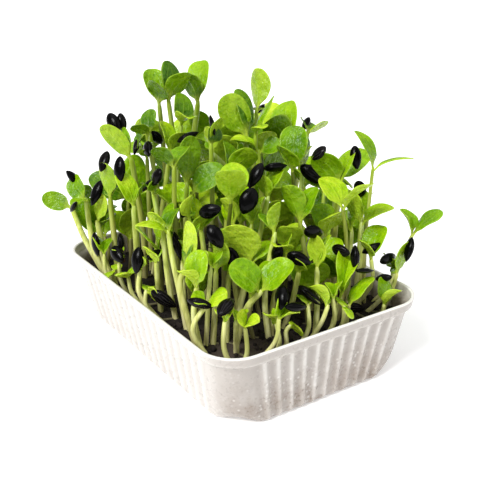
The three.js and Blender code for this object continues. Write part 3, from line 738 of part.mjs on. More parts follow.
// Name, sprouts in it and the pairs tied together by a surface root.
const CLUMPS = [
  ["sprout_clump_01", [0,1,103,131], [[0,1],[103,131],[0,131]]],
  ["sprout_clump_02", [6,96,112], [[6,96],[96,112]]],
  ["sprout_clump_03", [104,123], [[104,123]]],
  ["sprout_clump_04", [84,92,97,114], [[84,92],[97,114],[92,97]]],
  ["sprout_clump_05", [10,107], [[10,107]]],
  ["sprout_clump_06", [101,106,117], [[106,117],[101,106]]],
  ["sprout_clump_07", [11,7,12], [[7,12],[11,12]]],
  ["sprout_clump_08", [80,130], [[80,130]]],
  ["sprout_clump_09", [2,5,78], [[5,78],[2,5]]],
  ["sprout_clump_10", [89,87,127], [[87,127],[89,127]]],
  ["sprout_clump_11", [4,8,14], [[8,14],[4,14]]],
  ["sprout_clump_12", [95,105], [[95,105]]],
  ["sprout_clump_13", [13,90,119], [[90,119],[13,90]]],
  ["sprout_clump_14", [3,69,73], [[69,73],[3,73]]],
  ["sprout_clump_15", [94,17,125], [[17,125],[94,125]]],
  ["sprout_clump_16", [16,18,110,111], [[16,18],[110,111],[18,110]]],
  ["sprout_clump_17", [22,20,26], [[20,26],[22,26]]],
  ["sprout_clump_18", [75,100], [[75,100]]],
  ["sprout_clump_19", [126,128], [[126,128]]],
  ["sprout_clump_20", [70,50,115], [[50,115],[70,115]]],
  ["sprout_clump_21", [19,21,24], [[19,21],[21,24]]],
  ["sprout_clump_22", [93,120], [[93,120]]],
  ["sprout_clump_23", [9,15,49,56], [[9,15],[49,56],[15,56]]],
  ["sprout_clump_24", [51,71,72], [[71,72],[51,71]]],
  ["sprout_clump_25", [83,23,99], [[23,99],[83,99]]],
  ["sprout_clump_26", [81,102,108], [[81,102],[81,108]]],
  ["sprout_clump_27", [124,129], [[124,129]]],
  ["sprout_clump_28", [48,74,122], [[48,74],[48,122]]],
  ["sprout_clump_29", [25,82], [[25,82]]],
  ["sprout_clump_30", [43,55,88], [[43,55],[55,88]]],
  ["sprout_clump_31", [44,113,86,98], [[44,113],[86,98],[44,86]]],
  ["sprout_clump_32", [28,116], [[28,116]]],
  ["sprout_clump_33", [54,121], [[54,121]]],
  ["sprout_clump_34", [29,27,85], [[27,85],[29,85]]],
  ["sprout_clump_35", [46,47,64], [[46,47],[47,64]]],
  ["sprout_clump_36", [52,79,42,57], [[52,79],[42,57],[52,57]]],
  ["sprout_clump_37", [30,31,32,33], [[30,31],[32,33],[31,32]]],
  ["sprout_clump_38", [45,58,41,109], [[45,58],[41,109],[45,109]]],
  ["sprout_clump_39", [59,118], [[59,118]]],
  ["sprout_clump_40", [34,91,39], [[34,91],[34,39]]],
  ["sprout_clump_41", [53,60,76], [[60,76],[53,76]]],
  ["sprout_clump_42", [35,36,40], [[35,36],[36,40]]],
  ["sprout_clump_43", [61,66,63,65], [[61,66],[63,65],[61,65]]],
  ["sprout_clump_44", [38,37,77], [[37,77],[38,77]]],
  ["sprout_clump_45", [62,67,68], [[62,67],[67,68]]],
];
// Hulls that have come loose from their seed leaf.
const LOOSE_HULLS = [
  ["seed_hull_01", [-6.977,-56.737,49.929,-1.127,-64.077,43.049,-0.699,0.105,-0.707,6,3.9]],
  ["seed_hull_02", [-40.238,48.076,71.369,-46.348,47.016,60.629,-0.83,-0.252,0.497,6,3.9]],
  ["seed_hull_03", [-14.428,22.594,91.257,-5.448,18.464,95.367,0.117,-0.562,-0.819,6,3.9]],
  ["seed_hull_04", [2.412,-19.026,86.829,10.912,-24.266,87.989,-0.228,-0.547,-0.805,6,3.9]],
  ["seed_hull_05", [17.891,-62.391,51.878,28.491,-61.781,48.948,-0.232,-0.34,-0.911,4.6,2.44]],
  ["seed_hull_06", [-0.124,-21.884,90.194,-6.704,-22.044,80.644,-0.795,-0.25,0.552,6,3.9]],
  ["seed_hull_07", [-22.043,-67.731,49.343,-11.853,-68.251,46.703,-0.251,-0.368,-0.895,4.6,3.78]],
  ["seed_hull_08", [-28.785,-18.467,72.769,-23.195,-26.267,76.529,-0.84,-0.506,0.196,6.03,3.9]],
  ["seed_hull_09", [22.882,-18.489,84.463,29.102,-26.289,77.143,-0.598,-0.747,0.289,6.07,3.9]],
  ["seed_hull_10", [-36.041,45.669,102.39,-35.101,37.599,95.32,-0.797,-0.447,0.406,6,3.9]],
  ["seed_hull_11", [-39.025,-56.952,52.998,-47.305,-61.432,50.198,-0.323,0.004,0.946,6,3.9]],
  ["seed_hull_12", [-8.837,-28.639,82.898,-14.727,-29.369,73.138,-0.517,-0.772,0.37,7.6,3.9]],
  ["seed_hull_13", [-32.147,-31.316,72.83,-29.837,-36.976,64.46,-0.504,-0.774,0.384,6.27,3.9]],
];

function sproutSolids(row, k) {
  const stem = row.stem.map((q) => V(q));
  const fork = stem[stem.length - 1].clone();
  const up = fork.clone().sub(stem[stem.length - 2]).normalize();
  const foot = stem[0].clone().addScaledVector(stem[1].clone().sub(stem[0]).normalize(), -3);
  const path = [foot, ...stem.slice(1, -1), fork.clone().addScaledVector(up, STEM_OVERRUN)];
  const solids = [
    row.plain
      ? strand(path, row.r * STEM_FACET * 1.2, 3, 2)
      : strand(path, row.r * STEM_FACET, 4, row.stem.length > 3 ? 3 : 2),
  ];
  const blades = row.blades.map((b) =>
    blade(fork, V(b), V(b, 3), b[6], b[7], row.plain ? BLADE_PLAIN : BLADE_FINE),
  );
  solids.push(...blades);
  row.hulls.forEach((h, i) => {
    const shell = hull(h);
    solids.push(shell);
    if (HULL_ON[k][i] < 0) return;
    if (shell.intersect(blades[HULL_ON[k][i]]).volume() > 0.4) return;
    const b = row.blades[HULL_ON[k][i]];
    const tip = V(b);
    const n = V(b, 3);
    const length = tip.distanceTo(fork);
    const at = fork
      .clone()
      .lerp(tip, 0.7)
      .addScaledVector(n, b[7] * length * 4 * 0.7 * 0.3);
    const middle = V(h).lerp(V(h, 3), 0.5);
    solids.push(strand([middle, at], THREAD_R, 3, 1));
  });
  return solids;
}

// Everything below the feet of the stems, cut away so that they stand flat.
const below = toSolid(
  new THREE.BoxGeometry(300, 300, 40).translate(0, 0, STEM_FOOT - 20),
);

const group = new THREE.Group();
group.name = "sunflower_microgreens_tray";
function add(name, solid, color, roughness, metalness = 0) {
  const material = new THREE.MeshStandardMaterial({ color, roughness, metalness });
  const mesh = new THREE.Mesh(toGeometry(solid), material);
  mesh.name = name;
  group.add(mesh);
}

add("tray", traySolid, 0xe6e2de, 0.35);
add("soil", soilSolid, 0x2a2420, 0.95);
for (const [name, members, ties] of CLUMPS) {
  const solids = members.flatMap((k) => sproutSolids(SPROUTS[k], k));
  for (const [i, j] of ties) {
    const a = V(SPROUTS[i].stem[0]).setZ(STRAND_Z);
    const b = V(SPROUTS[j].stem[0]).setZ(STRAND_Z);
    solids.push(strand([a, b], STRAND_R, 4, 1));
  }
  let whole = solids[0];
  for (const s of solids.slice(1)) whole = whole.add(s);
  whole = whole.subtract(below).simplify(JOIN_TOLERANCE);
  add(name, welded(whole), 0x86b41c, 0.45);
}
for (const [name, v] of LOOSE_HULLS) add(name, hull(v), 0x141116, 0.3);

export default group;
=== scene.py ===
import math

import bpy
import numpy as np
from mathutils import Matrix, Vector, noise


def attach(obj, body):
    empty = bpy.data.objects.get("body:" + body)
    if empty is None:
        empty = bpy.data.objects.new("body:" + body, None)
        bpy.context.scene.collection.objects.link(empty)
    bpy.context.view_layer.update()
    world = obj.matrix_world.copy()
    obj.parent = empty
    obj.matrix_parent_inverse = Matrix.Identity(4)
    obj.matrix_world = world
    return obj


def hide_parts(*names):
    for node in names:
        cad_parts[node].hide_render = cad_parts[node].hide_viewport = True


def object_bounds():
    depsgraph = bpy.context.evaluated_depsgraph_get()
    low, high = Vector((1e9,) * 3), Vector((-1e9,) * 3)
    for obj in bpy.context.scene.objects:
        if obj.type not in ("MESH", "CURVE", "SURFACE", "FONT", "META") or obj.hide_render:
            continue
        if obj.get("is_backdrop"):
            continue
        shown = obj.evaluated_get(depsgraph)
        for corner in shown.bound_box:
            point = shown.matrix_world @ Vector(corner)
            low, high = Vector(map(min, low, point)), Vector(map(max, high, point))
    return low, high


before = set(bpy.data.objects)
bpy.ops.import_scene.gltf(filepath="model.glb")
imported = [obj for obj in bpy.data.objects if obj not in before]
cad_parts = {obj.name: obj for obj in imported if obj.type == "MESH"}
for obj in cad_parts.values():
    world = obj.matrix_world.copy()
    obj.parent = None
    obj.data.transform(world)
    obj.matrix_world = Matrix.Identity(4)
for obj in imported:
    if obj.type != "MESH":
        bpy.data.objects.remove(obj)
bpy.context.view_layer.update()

MM = 0.001

# ---------------------------------------------------------------- dimensions, mm
TRAY_HALF_X, TRAY_HALF_Y, TRAY_HEIGHT = 52.0, 70.5, 35.0
WALL_TAPER_X, WALL_TAPER_Y, WALL_THICKNESS = 7.0, 4.0, 0.8
CORNER_RADIUS, BASE_FILLET, CORNER_FILLET = 15.0, 3.0, 10.0
RIM_BAND, RIM_PROUD = 4.0, 0.9
RIB_DEPTH, RIBS_SHORT, RIBS_LONG = 0.9, 11, 17
SOIL_TOP = 24.0

# One row per sprout: stem radius, stem points from the soil to the fork, seed
# leaves (tip, upper-side normal, width, bow), hulls (ends, flat normal, width,
# thickness) and the tone of each seed leaf: its own shade of green together
# with painted light and shade, lower for leaves in shade, higher for lit ones.
SPROUTS = [
    {"r": 0.948, "stem": [[-42.5,42.96,24.3],[-44.84,49.66,32.77],[-47.2,57.42,42.99],[-48.61,65.85,55.4]],
     "blades": [[-57.65,76.25,58.73,0.607,0.666,-0.433,10.5,0.112],[-35.69,74.28,58.66,-0.565,0.814,0.135,9,0.068]],
     "hulls": [], "tone": [0.41,0.392], "fat": 1.45, "wide": [0.85,1.1]},
    {"r": 0.948, "stem": [[-42.5,39.1,24.3],[-46.57,45.39,36.73],[-46.98,49.14,49.14],[-46.48,52.47,62.34]],
     "blades": [[-46.88,63.95,69.43,-0.865,-0.285,0.414,9,0.06],[-54.83,47.23,61.64,-0.132,0.078,0.988,7,0.087]],
     "hulls": [[-44.45,64.02,66.62,-50.52,63.83,73.64,0.686,-0.438,0.581,6,3.9],[-55.87,42.05,65.27,-55.09,50.47,58.8,-0.676,0.487,0.553,4.6,2.71]], "tone": [0.48,0.656], "fat": 1.45},
    {"r": 0.948, "stem": [[-42.5,34.07,24.3],[-44.78,39.82,34.72],[-44.41,43.47,44.43],[-44.3,46.76,52.79]],
     "blades": [[-41.33,46.93,65.34,0.948,0.224,-0.227,8.5,0.086],[-34.09,50.2,58.08,-0.463,0.008,0.886,8,0.09]],
     "hulls": [], "tone": [0.788,0.304], "fat": 1.45},
    {"r": 1.06, "stem": [[-37.05,21.93,24.3],[-39.04,17.89,46.95],[-41.63,13.55,68.92]],
     "blades": [[-44.48,19.98,82.73,0.103,-0.893,0.437,10,0.06],[-33.41,21.2,74.72,-0.7,0.244,0.671,8.5,0.129]],
     "hulls": [[-42.72,22.11,89.58,-45.66,18.56,78.16,-0.902,-0.288,0.322,6,3.9]], "tone": [0.744,0.48], "fat": 1.45, "wide": [0.9,1]},
    {"r": 0.948, "stem": [[-27.87,32.92,24.3],[-29.25,29.8,45.89],[-31.89,28.38,67.48],[-34.69,27.9,85.98]],
     "blades": [[-43.18,36.26,99.28,0.705,0.709,0.005,10.5,0.054],[-33.12,39.45,95.81,-0.968,-0.072,0.239,9,0.053]],
     "hulls": [[-31.15,43.56,102.41,-31.73,39.46,94.24,-0.424,-0.797,0.431,4.2,3.2]], "tone": [0.656,0.48], "fat": 1.45, "wide": [0.85,0.9]},
    {"r": 0.948, "stem": [[-39.67,36.9,24.3],[-41.36,35.65,48.79],[-42.82,34.36,67.27]],
     "blades": [[-43.45,37.62,82.53,0.91,0.411,-0.05,9,0.06],[-35.29,41.21,69.63,-0.461,0.209,0.863,8,0.091]],
     "hulls": [[-40.16,40.2,87.13,-45.65,35.9,79.47,-0.773,-0.122,0.622,6,3.9]], "tone": [0.612,0.392], "fat": 1.45},
    {"r": 0.948, "stem": [[-15.23,43.68,24.3],[-15.6,41.3,47.99],[-17.13,39.85,71.69],[-18.95,39,91.99]],
     "blades": [[-16.48,44.62,101.64,-0.852,-0.328,0.409,9,0.065],[-27.29,39.08,96.87,0.398,0.625,0.672,8.5,0.105]],
     "hulls": [], "tone": [0.304,0.392], "fat": 1.2, "wide": [0.98,1]},
    {"r": 0.948, "stem": [[-3.6,52.63,24.3],[-7.19,51.59,46.98],[-10.23,52.81,69.65],[-12.6,54.82,89.09]],
     "blades": [[-14.07,41.13,88.52,0.183,-0.061,0.981,7,0.06],[-15.66,59.95,80.57,-0.888,0.176,0.425,7,0.071]],
     "hulls": [[-17.37,39.94,92.96,-11.87,41.92,85.56,-0.647,-0.463,-0.605,6,3.9],[-12.99,61.54,84.75,-18.96,55.95,78.08,-0.809,0.506,0.301,4.6,3.35]], "tone": [0.788,0.304], "fat": 1.2},
    {"r": 0.86, "stem": [[-20.67,39.93,24.3],[-20.61,39.91,44.23],[-20.57,39.87,64.16],[-20.56,39.82,81.24]],
     "blades": [[-23.13,32.61,88.03,-0.451,0.692,0.564,7,0.101],[-16.93,50.29,82.99,0.614,-0.332,0.716,7,0.109]],
     "hulls": [[-21.46,38.49,88.29,-24.97,28.52,85.61,-0.887,0.2,0.417,6,3.9]], "tone": [0.48,0.392], "fat": 1.2},
    {"r": 0.948, "stem": [[-28.61,-2.62,24.3],[-29.33,-0.3,46.18],[-28.58,1.7,68.06],[-27.31,3.27,86.81]],
     "blades": [[-33.56,8.59,94.34,0.825,0.395,0.405,9,0.091],[-18.54,7.91,92.56,-0.564,0.045,0.825,9,0.12]],
     "hulls": [], "tone": [0.172,0.48], "fat": 1.2},
    {"r": 0.92, "stem": [[-5.78,49.49,24.3],[-6.52,47.11,52.19],[-8.31,45.86,80.07],[-10.3,45.27,103.97]],
     "blades": [[-7.75,55.45,117.74,-0.077,-0.795,0.602,10,0.055],[-13.91,41.62,115.54,0.854,0.357,0.379,9.5,0.081]],
     "hulls": [], "tone": [0.568,0.216], "fat": 1.35, "wide": [1.15,1.15]},
    {"r": 0.92, "stem": [[0.22,44.27,24.3],[-1.97,42.02,53.06],[-4.69,41.64,81.83],[-7.26,42.11,106.49]],
     "blades": [[-2.9,48.81,120.99,0.225,-0.909,0.352,9.5,0.115],[-0.75,35.55,118.23,0.112,0.893,0.437,9.5,0.08]],
     "hulls": [], "tone": [0.216,0.48], "fat": 1.35, "wide": [1.2,1.2]},
    {"r": 1.1, "stem": [[-0.76,50.26,24.3],[4.19,48.91,51.79],[6.89,45.31,79.28],[8.24,41.26,102.85]],
     "blades": [[15.99,50.53,119.34,-0.724,-0.398,0.564,10,0.098],[3.71,44.01,115.52,0.835,0.517,0.187,9.5,0.101]],
     "hulls": [], "tone": [0.638,0.198], "fat": 1.35, "wide": [1.15,1.15]},
    {"r": 0.948, "stem": [[-13.91,31.47,24.3],[-11.47,32.58,49.79],[-9.19,32.03,75.28],[-7.3,30.86,97.13]],
     "blades": [[-3.17,36.35,108.85,0.08,-0.913,0.4,9.5,0.085],[-9.29,20.35,102.25,0.269,0.38,0.885,9,0.069]],
     "hulls": [], "tone": [0.392,0.744], "fat": 1.35, "wide": [1.15,1.1]},
    {"r": 0.948, "stem": [[-22.21,35,24.3],[-18.31,34.76,45.53],[-15.75,32.5,66.76],[-14.12,29.69,84.96]],
     "blades": [[-13.3,37.63,97.04,0.356,-0.792,0.496,9,0.067],[-8.69,22.57,94.03,0.166,0.822,0.545,9,0.104]],
     "hulls": [], "tone": [0.726,0.656], "fat": 1.35},
    {"r": 0.948, "stem": [[-22.43,0.23,24.3],[-22.59,3.15,42.88],[-21.12,5.26,61.45],[-19.17,6.72,77.37]],
     "blades": [[-14.32,9.81,95.87,0.082,0.979,-0.185,10.5,0.103],[-18.95,17.67,86.76,0.388,-0.604,0.696,9,0.061]],
     "hulls": [], "tone": [0.392,0.48], "fat": 1.2},
    {"r": 0.948, "stem": [[-8.15,7.11,24.3],[-11.27,5.25,41.13],[-14.43,5.64,57.96],[-17.15,6.94,72.39]],
     "blades": [[-6.36,-1.33,83.93,-0.796,-0.344,0.498,11,0.122],[-21.17,-1.84,64.8,0.537,-0.679,0.501,8,0.096]],
     "hulls": [], "tone": [0.374,0.788], "fat": 1.2},
    {"r": 0.948, "stem": [[24.14,24.2,24.3],[11.22,12.14,65.48],[5.25,9.97,77.21],[-4.13,10.05,87.53]],
     "blades": [[-5.03,13.25,98.2,0.986,0.163,0.034,9,0.124],[4.01,15.23,92.83,-0.605,0.15,0.782,8.5,0.094]],
     "hulls": [], "tone": [0.788,0.48], "fat": 1.2},
    {"r": 0.948, "stem": [[-5.87,12.53,24.3],[-5.02,9.84,48.37],[-5.87,7.52,72.45],[-7.34,5.69,93.08]],
     "blades": [[-5.56,6.73,99.85,0.275,-0.959,0.075,9,0.06],[-3.39,4.48,104.17,-0.404,0.882,0.24,8.5,0.08]],
     "hulls": [[-4.15,11.23,104.24,-6.51,3.73,96.92,-0.852,0.477,-0.215,4.6,2.4]], "tone": [0.26,0.656], "fat": 1.2},
    {"r": 1.1, "stem": [[9.32,3.34,24.3],[9.9,7.85,47.87],[12.74,10.66,71.45],[16.13,12.34,91.66]],
     "blades": [[9.28,18.97,109.07,0.506,0.853,-0.126,14.8,0.053],[19.98,25.24,109.06,0.309,-0.795,0.521,10,0.12]],
     "hulls": [], "tone": [0.586,0.304], "fat": 1.2, "wide": [0.95,1.1]},
    {"r": 0.948, "stem": [[33.03,16.8,24.3],[30.21,17.87,50.8],[28.84,20.13,77.3],[28.29,22.56,100.01]],
     "blades": [[31.81,28.56,117.26,0.968,0.098,-0.232,9.5,0.11],[36.68,29.45,99.04,0.017,0.119,0.993,8,0.052]],
     "hulls": [[35.27,30.72,96.56,32.99,22.76,101.73,0.532,-0.563,-0.633,4.6,2.84]], "tone": [0.674,0.392], "fat": 1.2, "wide": [1.35,1.1]},
    {"r": 0.948, "stem": [[13.77,5.4,24.3],[14.71,6.9,48.65],[16.17,7.43,73],[17.64,7.47,93.87]],
     "blades": [[28.76,9.35,107.95,-0.75,0.381,0.541,8.5,0.06],[15.41,-0.87,99.12,0.012,0.53,0.848,8,0.127]],
     "hulls": [], "tone": [0.568,0.788], "fat": 1.2, "wide": [1.1,0.9]},
    {"r": 1.06, "stem": [[42.5,7.94,24.3],[40.73,5.37,46.51],[38.41,5.05,68.71],[36.19,5.74,87.75]],
     "blades": [[25.23,8.86,97.55,0.479,0.836,0.269,12,0.092],[42.67,17.8,102.84,-0.767,-0.298,0.568,12,0.12]],
     "hulls": [], "tone": [0.216,0.674], "fat": 1.2},
    {"r": 0.948, "stem": [[-4.05,1.21,24.3],[-3.24,1.19,43.84],[-2.68,0.74,63.39],[-2.32,0.16,80.14]],
     "blades": [[-0.11,4.93,93.03,0.389,-0.884,0.261,9,0.105],[5.3,-7.75,90.65,0.377,0.85,0.367,10.5,0.078]],
     "hulls": [], "tone": [0.392,0.568], "fat": 1.2},
    {"r": 0.948, "stem": [[20.06,3.47,24.3],[18.81,2.75,46.13],[17.56,2.91,67.97],[16.48,3.44,86.68]],
     "blades": [[5.95,9.31,92.02,0.309,-0.274,0.911,9,0.123],[23.02,-4.09,89.23,-0.536,-0.188,0.823,9.5,0.062]],
     "hulls": [], "tone": [0.788,0.436], "fat": 1.2},
    {"r": 0.948, "stem": [[28.2,-5.43,24.3],[30.03,-6.93,43.81],[30.5,-8.96,63.31],[30.31,-10.93,80.03]],
     "blades": [[32.3,-4.86,95.28,0.401,-0.868,0.293,9,0.11],[30.87,-13.94,90.71,-0.361,0.892,0.271,8.5,0.115]],
     "hulls": [], "tone": [0.26,0.7], "fat": 1.2},
    {"r": 0.948, "stem": [[39.26,17.12,24.3],[44.12,15.71,47.21],[46.72,12.13,70.11],[47.99,8.12,89.75]],
     "blades": [[58.78,8.14,92.53,-0.178,0.706,0.686,8,0.051],[52.63,17.87,91.89,0.403,-0.375,0.835,7.5,0.1]],
     "hulls": [[55.47,16.9,93.65,47,10.66,90.31,-0.64,0.649,0.412,4.6,3.8]], "tone": [0.788,0.392], "fat": 1.2},
    {"r": 0.948, "stem": [[27.54,-40.02,24.3],[28.2,-36.54,43.28],[30.53,-34.48,62.25],[33.25,-33.33,78.52]],
     "blades": [[25.74,-25.72,90.44,0.818,0.551,0.164,12,0.06],[39.88,-31.23,91.51,-0.914,0.202,0.351,9,0.06]],
     "hulls": [[27.04,-29.91,94.11,24.88,-22.93,87.99,-0.784,0.253,0.566,6,3.9],[40.73,-32.35,93.61,39.46,-36.09,84.14,-0.641,-0.681,0.355,4.9,3.9]], "tone": [0.436,0.656], "fat": 1.2},
    {"r": 0.948, "stem": [[39.65,-20.76,24.3],[40.06,-21.37,42.17],[40.02,-22.01,60.04],[39.79,-22.58,75.36]],
     "blades": [[39.75,-32.52,76.2,0.686,0.059,0.726,7,0.126],[55.615,-23.501,86.561,-0.554,-0.356,0.753,11.549,0.096]],
     "hulls": [], "tone": [0.788,0.568], "fat": 1.2, "wide": [1.1,1.08]},
    {"r": 0.948, "stem": [[29.4,-28.51,24.3],[29.34,-26.63,41.1],[30.31,-25.3,57.9],[31.59,-24.39,72.31]],
     "blades": [[26.74,-19.45,83.7,0.925,0.25,0.285,9,0.086],[33.915,-14.596,82.124,-0.258,-0.653,0.712,11.668,0.128]],
     "hulls": [], "tone": [0.656,0.48], "wide": [1.1,1.3]},
    {"r": 0.948, "stem": [[38.85,-46.05,24.3],[39.13,-44.09,52.25],[40.6,-43.75,74.64],[41.39,-43.73,86.4]],
     "blades": [[39.81,-35.65,100.76,0.327,-0.808,0.49,9.5,0.122],[55.57,-51.89,89.51,-0.097,0.202,0.975,9,0.109]],
     "hulls": [], "tone": [0.568,0.7], "fat": 0.85, "wide": [0.92,0.6]},
    {"r": 0.948, "stem": [[35.03,-47.02,24.3],[39.07,-42.21,44.54],[42.43,-37.65,62.94]],
     "blades": [[43.14,-35.33,74.07,0.996,-0.075,-0.048,8.5,0.083],[50.72,-33.05,70.61,-0.713,0.541,0.446,8,0.124]],
     "hulls": [[40.43,-37.3,79.17,43.89,-34.14,70.39,-0.853,-0.283,-0.438,6,3.9]], "tone": [0.524,0.304]},
    {"r": 0.948, "stem": [[35.12,-44.24,24.3],[33.09,-46.79,46.69],[31.41,-49.04,65.6]],
     "blades": [[43.58,-54.17,71.73,-0.407,0.129,0.904,9,0.092],[29.42,-40.35,78.04,0.991,0.07,0.111,9,0.126]],
     "hulls": [], "tone": [0.788,0.7], "wide": [1.1,1.25]},
    {"r": 0.948, "stem": [[31.98,-42.56,24.3],[36.11,-38.57,41.58],[39.48,-34.94,56.65]],
     "blades": [[30.12,-29.62,59.8,0.539,0.598,0.593,8.5,0.104],[45.55,-29.9,67.46,-0.876,0.354,0.327,8,0.107]],
     "hulls": [], "tone": [0.7,0.612]},
    {"r": 0.948, "stem": [[30,-47,24.3],[34.77,-53.83,38.11],[31.87,-55.8,52.03]],
     "blades": [[39.1,-52.45,63.68,-0.827,-0.124,0.549,10,0.066],[26.47,-56.09,61.43,0.86,-0.141,0.49,8,0.054]],
     "hulls": [[29.93,-52.28,53.52,34.92,-58.52,58.98,0.139,-0.587,-0.798,4.6,3.74],[26,-46.66,27.2,33,-52.94,27.2,-0.599,-0.668,0.443,4.4,3]], "tone": [0.638,0.656]},
    {"r": 0.948, "stem": [[42,-47,24.3],[49.03,-51.47,34.42],[52.47,-53.51,46.73],[55.83,-55.64,57.4]],
     "blades": [[53.74,-49.56,66.96,0.316,-0.768,0.557,9,0.117],[66.02,-60.42,67.24,-0.624,0.216,0.751,10,0.059]],
     "hulls": [], "tone": [0.568,0.48], "wide": [1,0.9]},
    {"r": 0.948, "stem": [[39.64,-56.27,24.3],[41.7,-59.06,35.01],[42.56,-60.92,43.91]],
     "blades": [[49.16,-60.63,56.43,-0.161,0.985,0.062,8.5,0.103],[51.43,-54.74,45.05,-0.484,0.572,0.662,7,0.075]],
     "hulls": [[50.22,-60.47,58.86,45.92,-62.29,49.1,-0.827,0.493,0.272,6,3.9]], "tone": [0.568,0.48]},
    {"r": 0.948, "stem": [[7.33,-60,24.3],[11.03,-58.56,32.63],[14.58,-57.71,39.5]],
     "blades": [[18.7,-52.78,57.08,0.22,-0.951,0.215,9,0.06],[20.67,-58.27,54.45,-0.886,0.279,0.371,9,0.055]],
     "hulls": [[17.8,-47.13,56.41,19.3,-56.55,57.53,-0.955,-0.18,-0.236,6,3.9],[22,-56.32,60.33,19.78,-59.57,50.53,-0.881,0.472,0.043,6,3.9]], "tone": [0.7,0.744]},
    {"r": 0.948, "stem": [[15.66,-60.5,24.3],[15.52,-60.96,30.97],[15.64,-61.61,37.15]],
     "blades": [[25.7,-63.5,47.36,-0.659,0.274,0.7,8.5,0.108],[23.67,-58.82,43.41,-0.643,0.435,0.631,8,0.059]],
     "hulls": [], "tone": [0.7,0.568]},
    {"r": 0.948, "stem": [[30.27,-60.49,24.3],[32.82,-63.5,28.91],[32.49,-64.62,33.67]],
     "blades": [[35.2,-69.84,41.9,0.037,0.849,0.527,7.5,0.092],[38.34,-58.55,42.34,0.173,-0.858,0.484,8.5,0.06]],
     "hulls": [[37.86,-53.44,39.98,38.67,-61.96,43.91,-0.141,-0.426,-0.894,4.6,3.81]], "tone": [0.788,0.568]},
    {"r": 0.948, "stem": [[35,-52,24.3],[44.79,-54.75,33.44],[47.98,-53.04,42.46]],
     "blades": [[40.87,-56.04,50.4,0.735,0.047,0.676,7.5,0.07],[56.84,-46.86,43.82,-0.49,0.555,0.673,7,0.07]],
     "hulls": [[36.04,-57.49,50.71,46.65,-55.03,48.66,0.105,-0.863,-0.494,6,3.9]], "tone": [0.656,0.48]},
    {"r": 1.1, "stem": [[-22.97,-37.21,24.3],[-20.16,-34.81,34.59],[-16.92,-34.66,44.88],[-13.97,-35.5,53.7]],
     "blades": [[-22.84,-32.83,70.85,0.697,0.669,0.257,15,0.053],[-4.56,-32.08,60.49,-0.592,0.029,0.805,11,0.097]],
     "hulls": [], "tone": [0.858,0.638], "fat": 1.25},
    {"r": 1.06, "stem": [[-28.61,-44.74,24.3],[-25.73,-47.55,40.77],[-20.87,-51.43,49.24]],
     "blades": [[-30.3,-43.92,59.46,0.095,-0.758,0.645,12.5,0.052],[-10.49,-57.27,59.82,-0.73,-0.064,0.681,12,0.075]],
     "hulls": [], "tone": [0.524,0.594], "fat": 1.25},
    {"r": 0.948, "stem": [[-13.53,-26.97,24.3],[-14.6,-23.4,38.24],[-13.41,-20.36,52.18],[-11.43,-17.97,64.13]],
     "blades": [[-14.76,-13.26,74.5,0.955,0.208,0.212,8.5,0.115],[-7.99,-9.87,74.89,-0.969,0.137,0.207,8.5,0.103]],
     "hulls": [], "tone": [0.814,0.77], "fat": 1.25},
    {"r": 0.948, "stem": [[17.04,-35.82,24.3],[14.53,-36.56,38.85],[12.4,-35.73,53.39],[10.73,-34.33,65.86]],
     "blades": [[7.81,-28.05,80.03,0.917,0.399,0.012,11,0.096],[19.75,-31.78,78.38,-0.814,0.03,0.58,10,0.053]],
     "hulls": [], "tone": [0.524,0.506], "fat": 1.25, "wide": [1,1.1]},
    {"r": 0.948, "stem": [[-14.61,-47.89,24.3],[-13.26,-42.94,38.9],[-9.66,-40.24,53.51],[-5.61,-38.89,66.03]],
     "blades": [[-5.25,-39.4,78.89,-0.161,0.986,0.043,10,0.118],[-5.61,-30.52,72.5,0.465,-0.542,0.7,8.5,0.054]],
     "hulls": [], "tone": [0.682,0.418], "fat": 1.25, "wide": [0.75,1]},
    {"r": 1.06, "stem": [[-42.5,-37.78,24.3],[-43.86,-31.15,39.09],[-43.61,-27.35,49.39],[-40.6,-27.22,55.09]],
     "blades": [[-37.15,-23.78,72.34,0.98,0.003,-0.197,9.5,0.059],[-30.57,-22.02,69.1,-0.829,0.244,0.503,9,0.1]],
     "hulls": [], "tone": [0.858,0.374], "fat": 1.25},
    {"r": 0.948, "stem": [[-42.5,-40.95,24.3],[-44.31,-38.72,38.88],[-42.78,-38.97,52.35]],
     "blades": [[-40.52,-37.96,65.66,-0.942,-0.282,0.182,10,0.119],[-50.23,-38.36,59.49,0.661,0.36,0.658,8,0.114]],
     "hulls": [], "tone": [0.682,0.858], "fat": 1.25},
    {"r": 0.948, "stem": [[-37.85,-21.99,24.3],[-38.49,-17.41,41.07],[-39.1,-13.56,55.11],[-39.17,-11.06,65.31]],
     "blades": [[-50.28,-5.59,69.02,0.268,-0.106,0.958,9,0.121],[-32.7,-8.47,73.18,-0.787,0.157,0.596,9,0.066]],
     "hulls": [], "tone": [0.858,0.374], "fat": 1.25, "wide": [1.1,1.25]},
    {"r": 0.948, "stem": [[-27.21,-12.83,24.3],[-28.23,-12.57,39.88],[-28.79,-11.84,55.47],[-29.08,-11.01,68.82]],
     "blades": [[-29.8,-13.42,78.78,-0.403,0.896,0.188,8,0.058],[-26.25,-0.58,68.64,0.463,-0.11,0.879,7,0.103]],
     "hulls": [[-26.97,-1.67,66.41,-27.82,-9.87,72.6,0.47,-0.562,-0.68,4.6,3.34]], "tone": [0.876,0.594], "fat": 1.25},
    {"r": 0.948, "stem": [[-38.66,-1.41,24.3],[-40.95,-3.93,38.8],[-42.76,-6.37,50.75]],
     "blades": [[-48.26,-8.58,59.09,0.806,0.153,0.572,8,0.076],[-35.7,1.01,51.96,-0.543,0.398,0.739,8,0.108]],
     "hulls": [[-45.62,-4.01,52.87,-36.24,-1.67,52.09,0.12,-0.711,-0.693,6,3.9]], "tone": [0.858,0.682], "fat": 1.25},
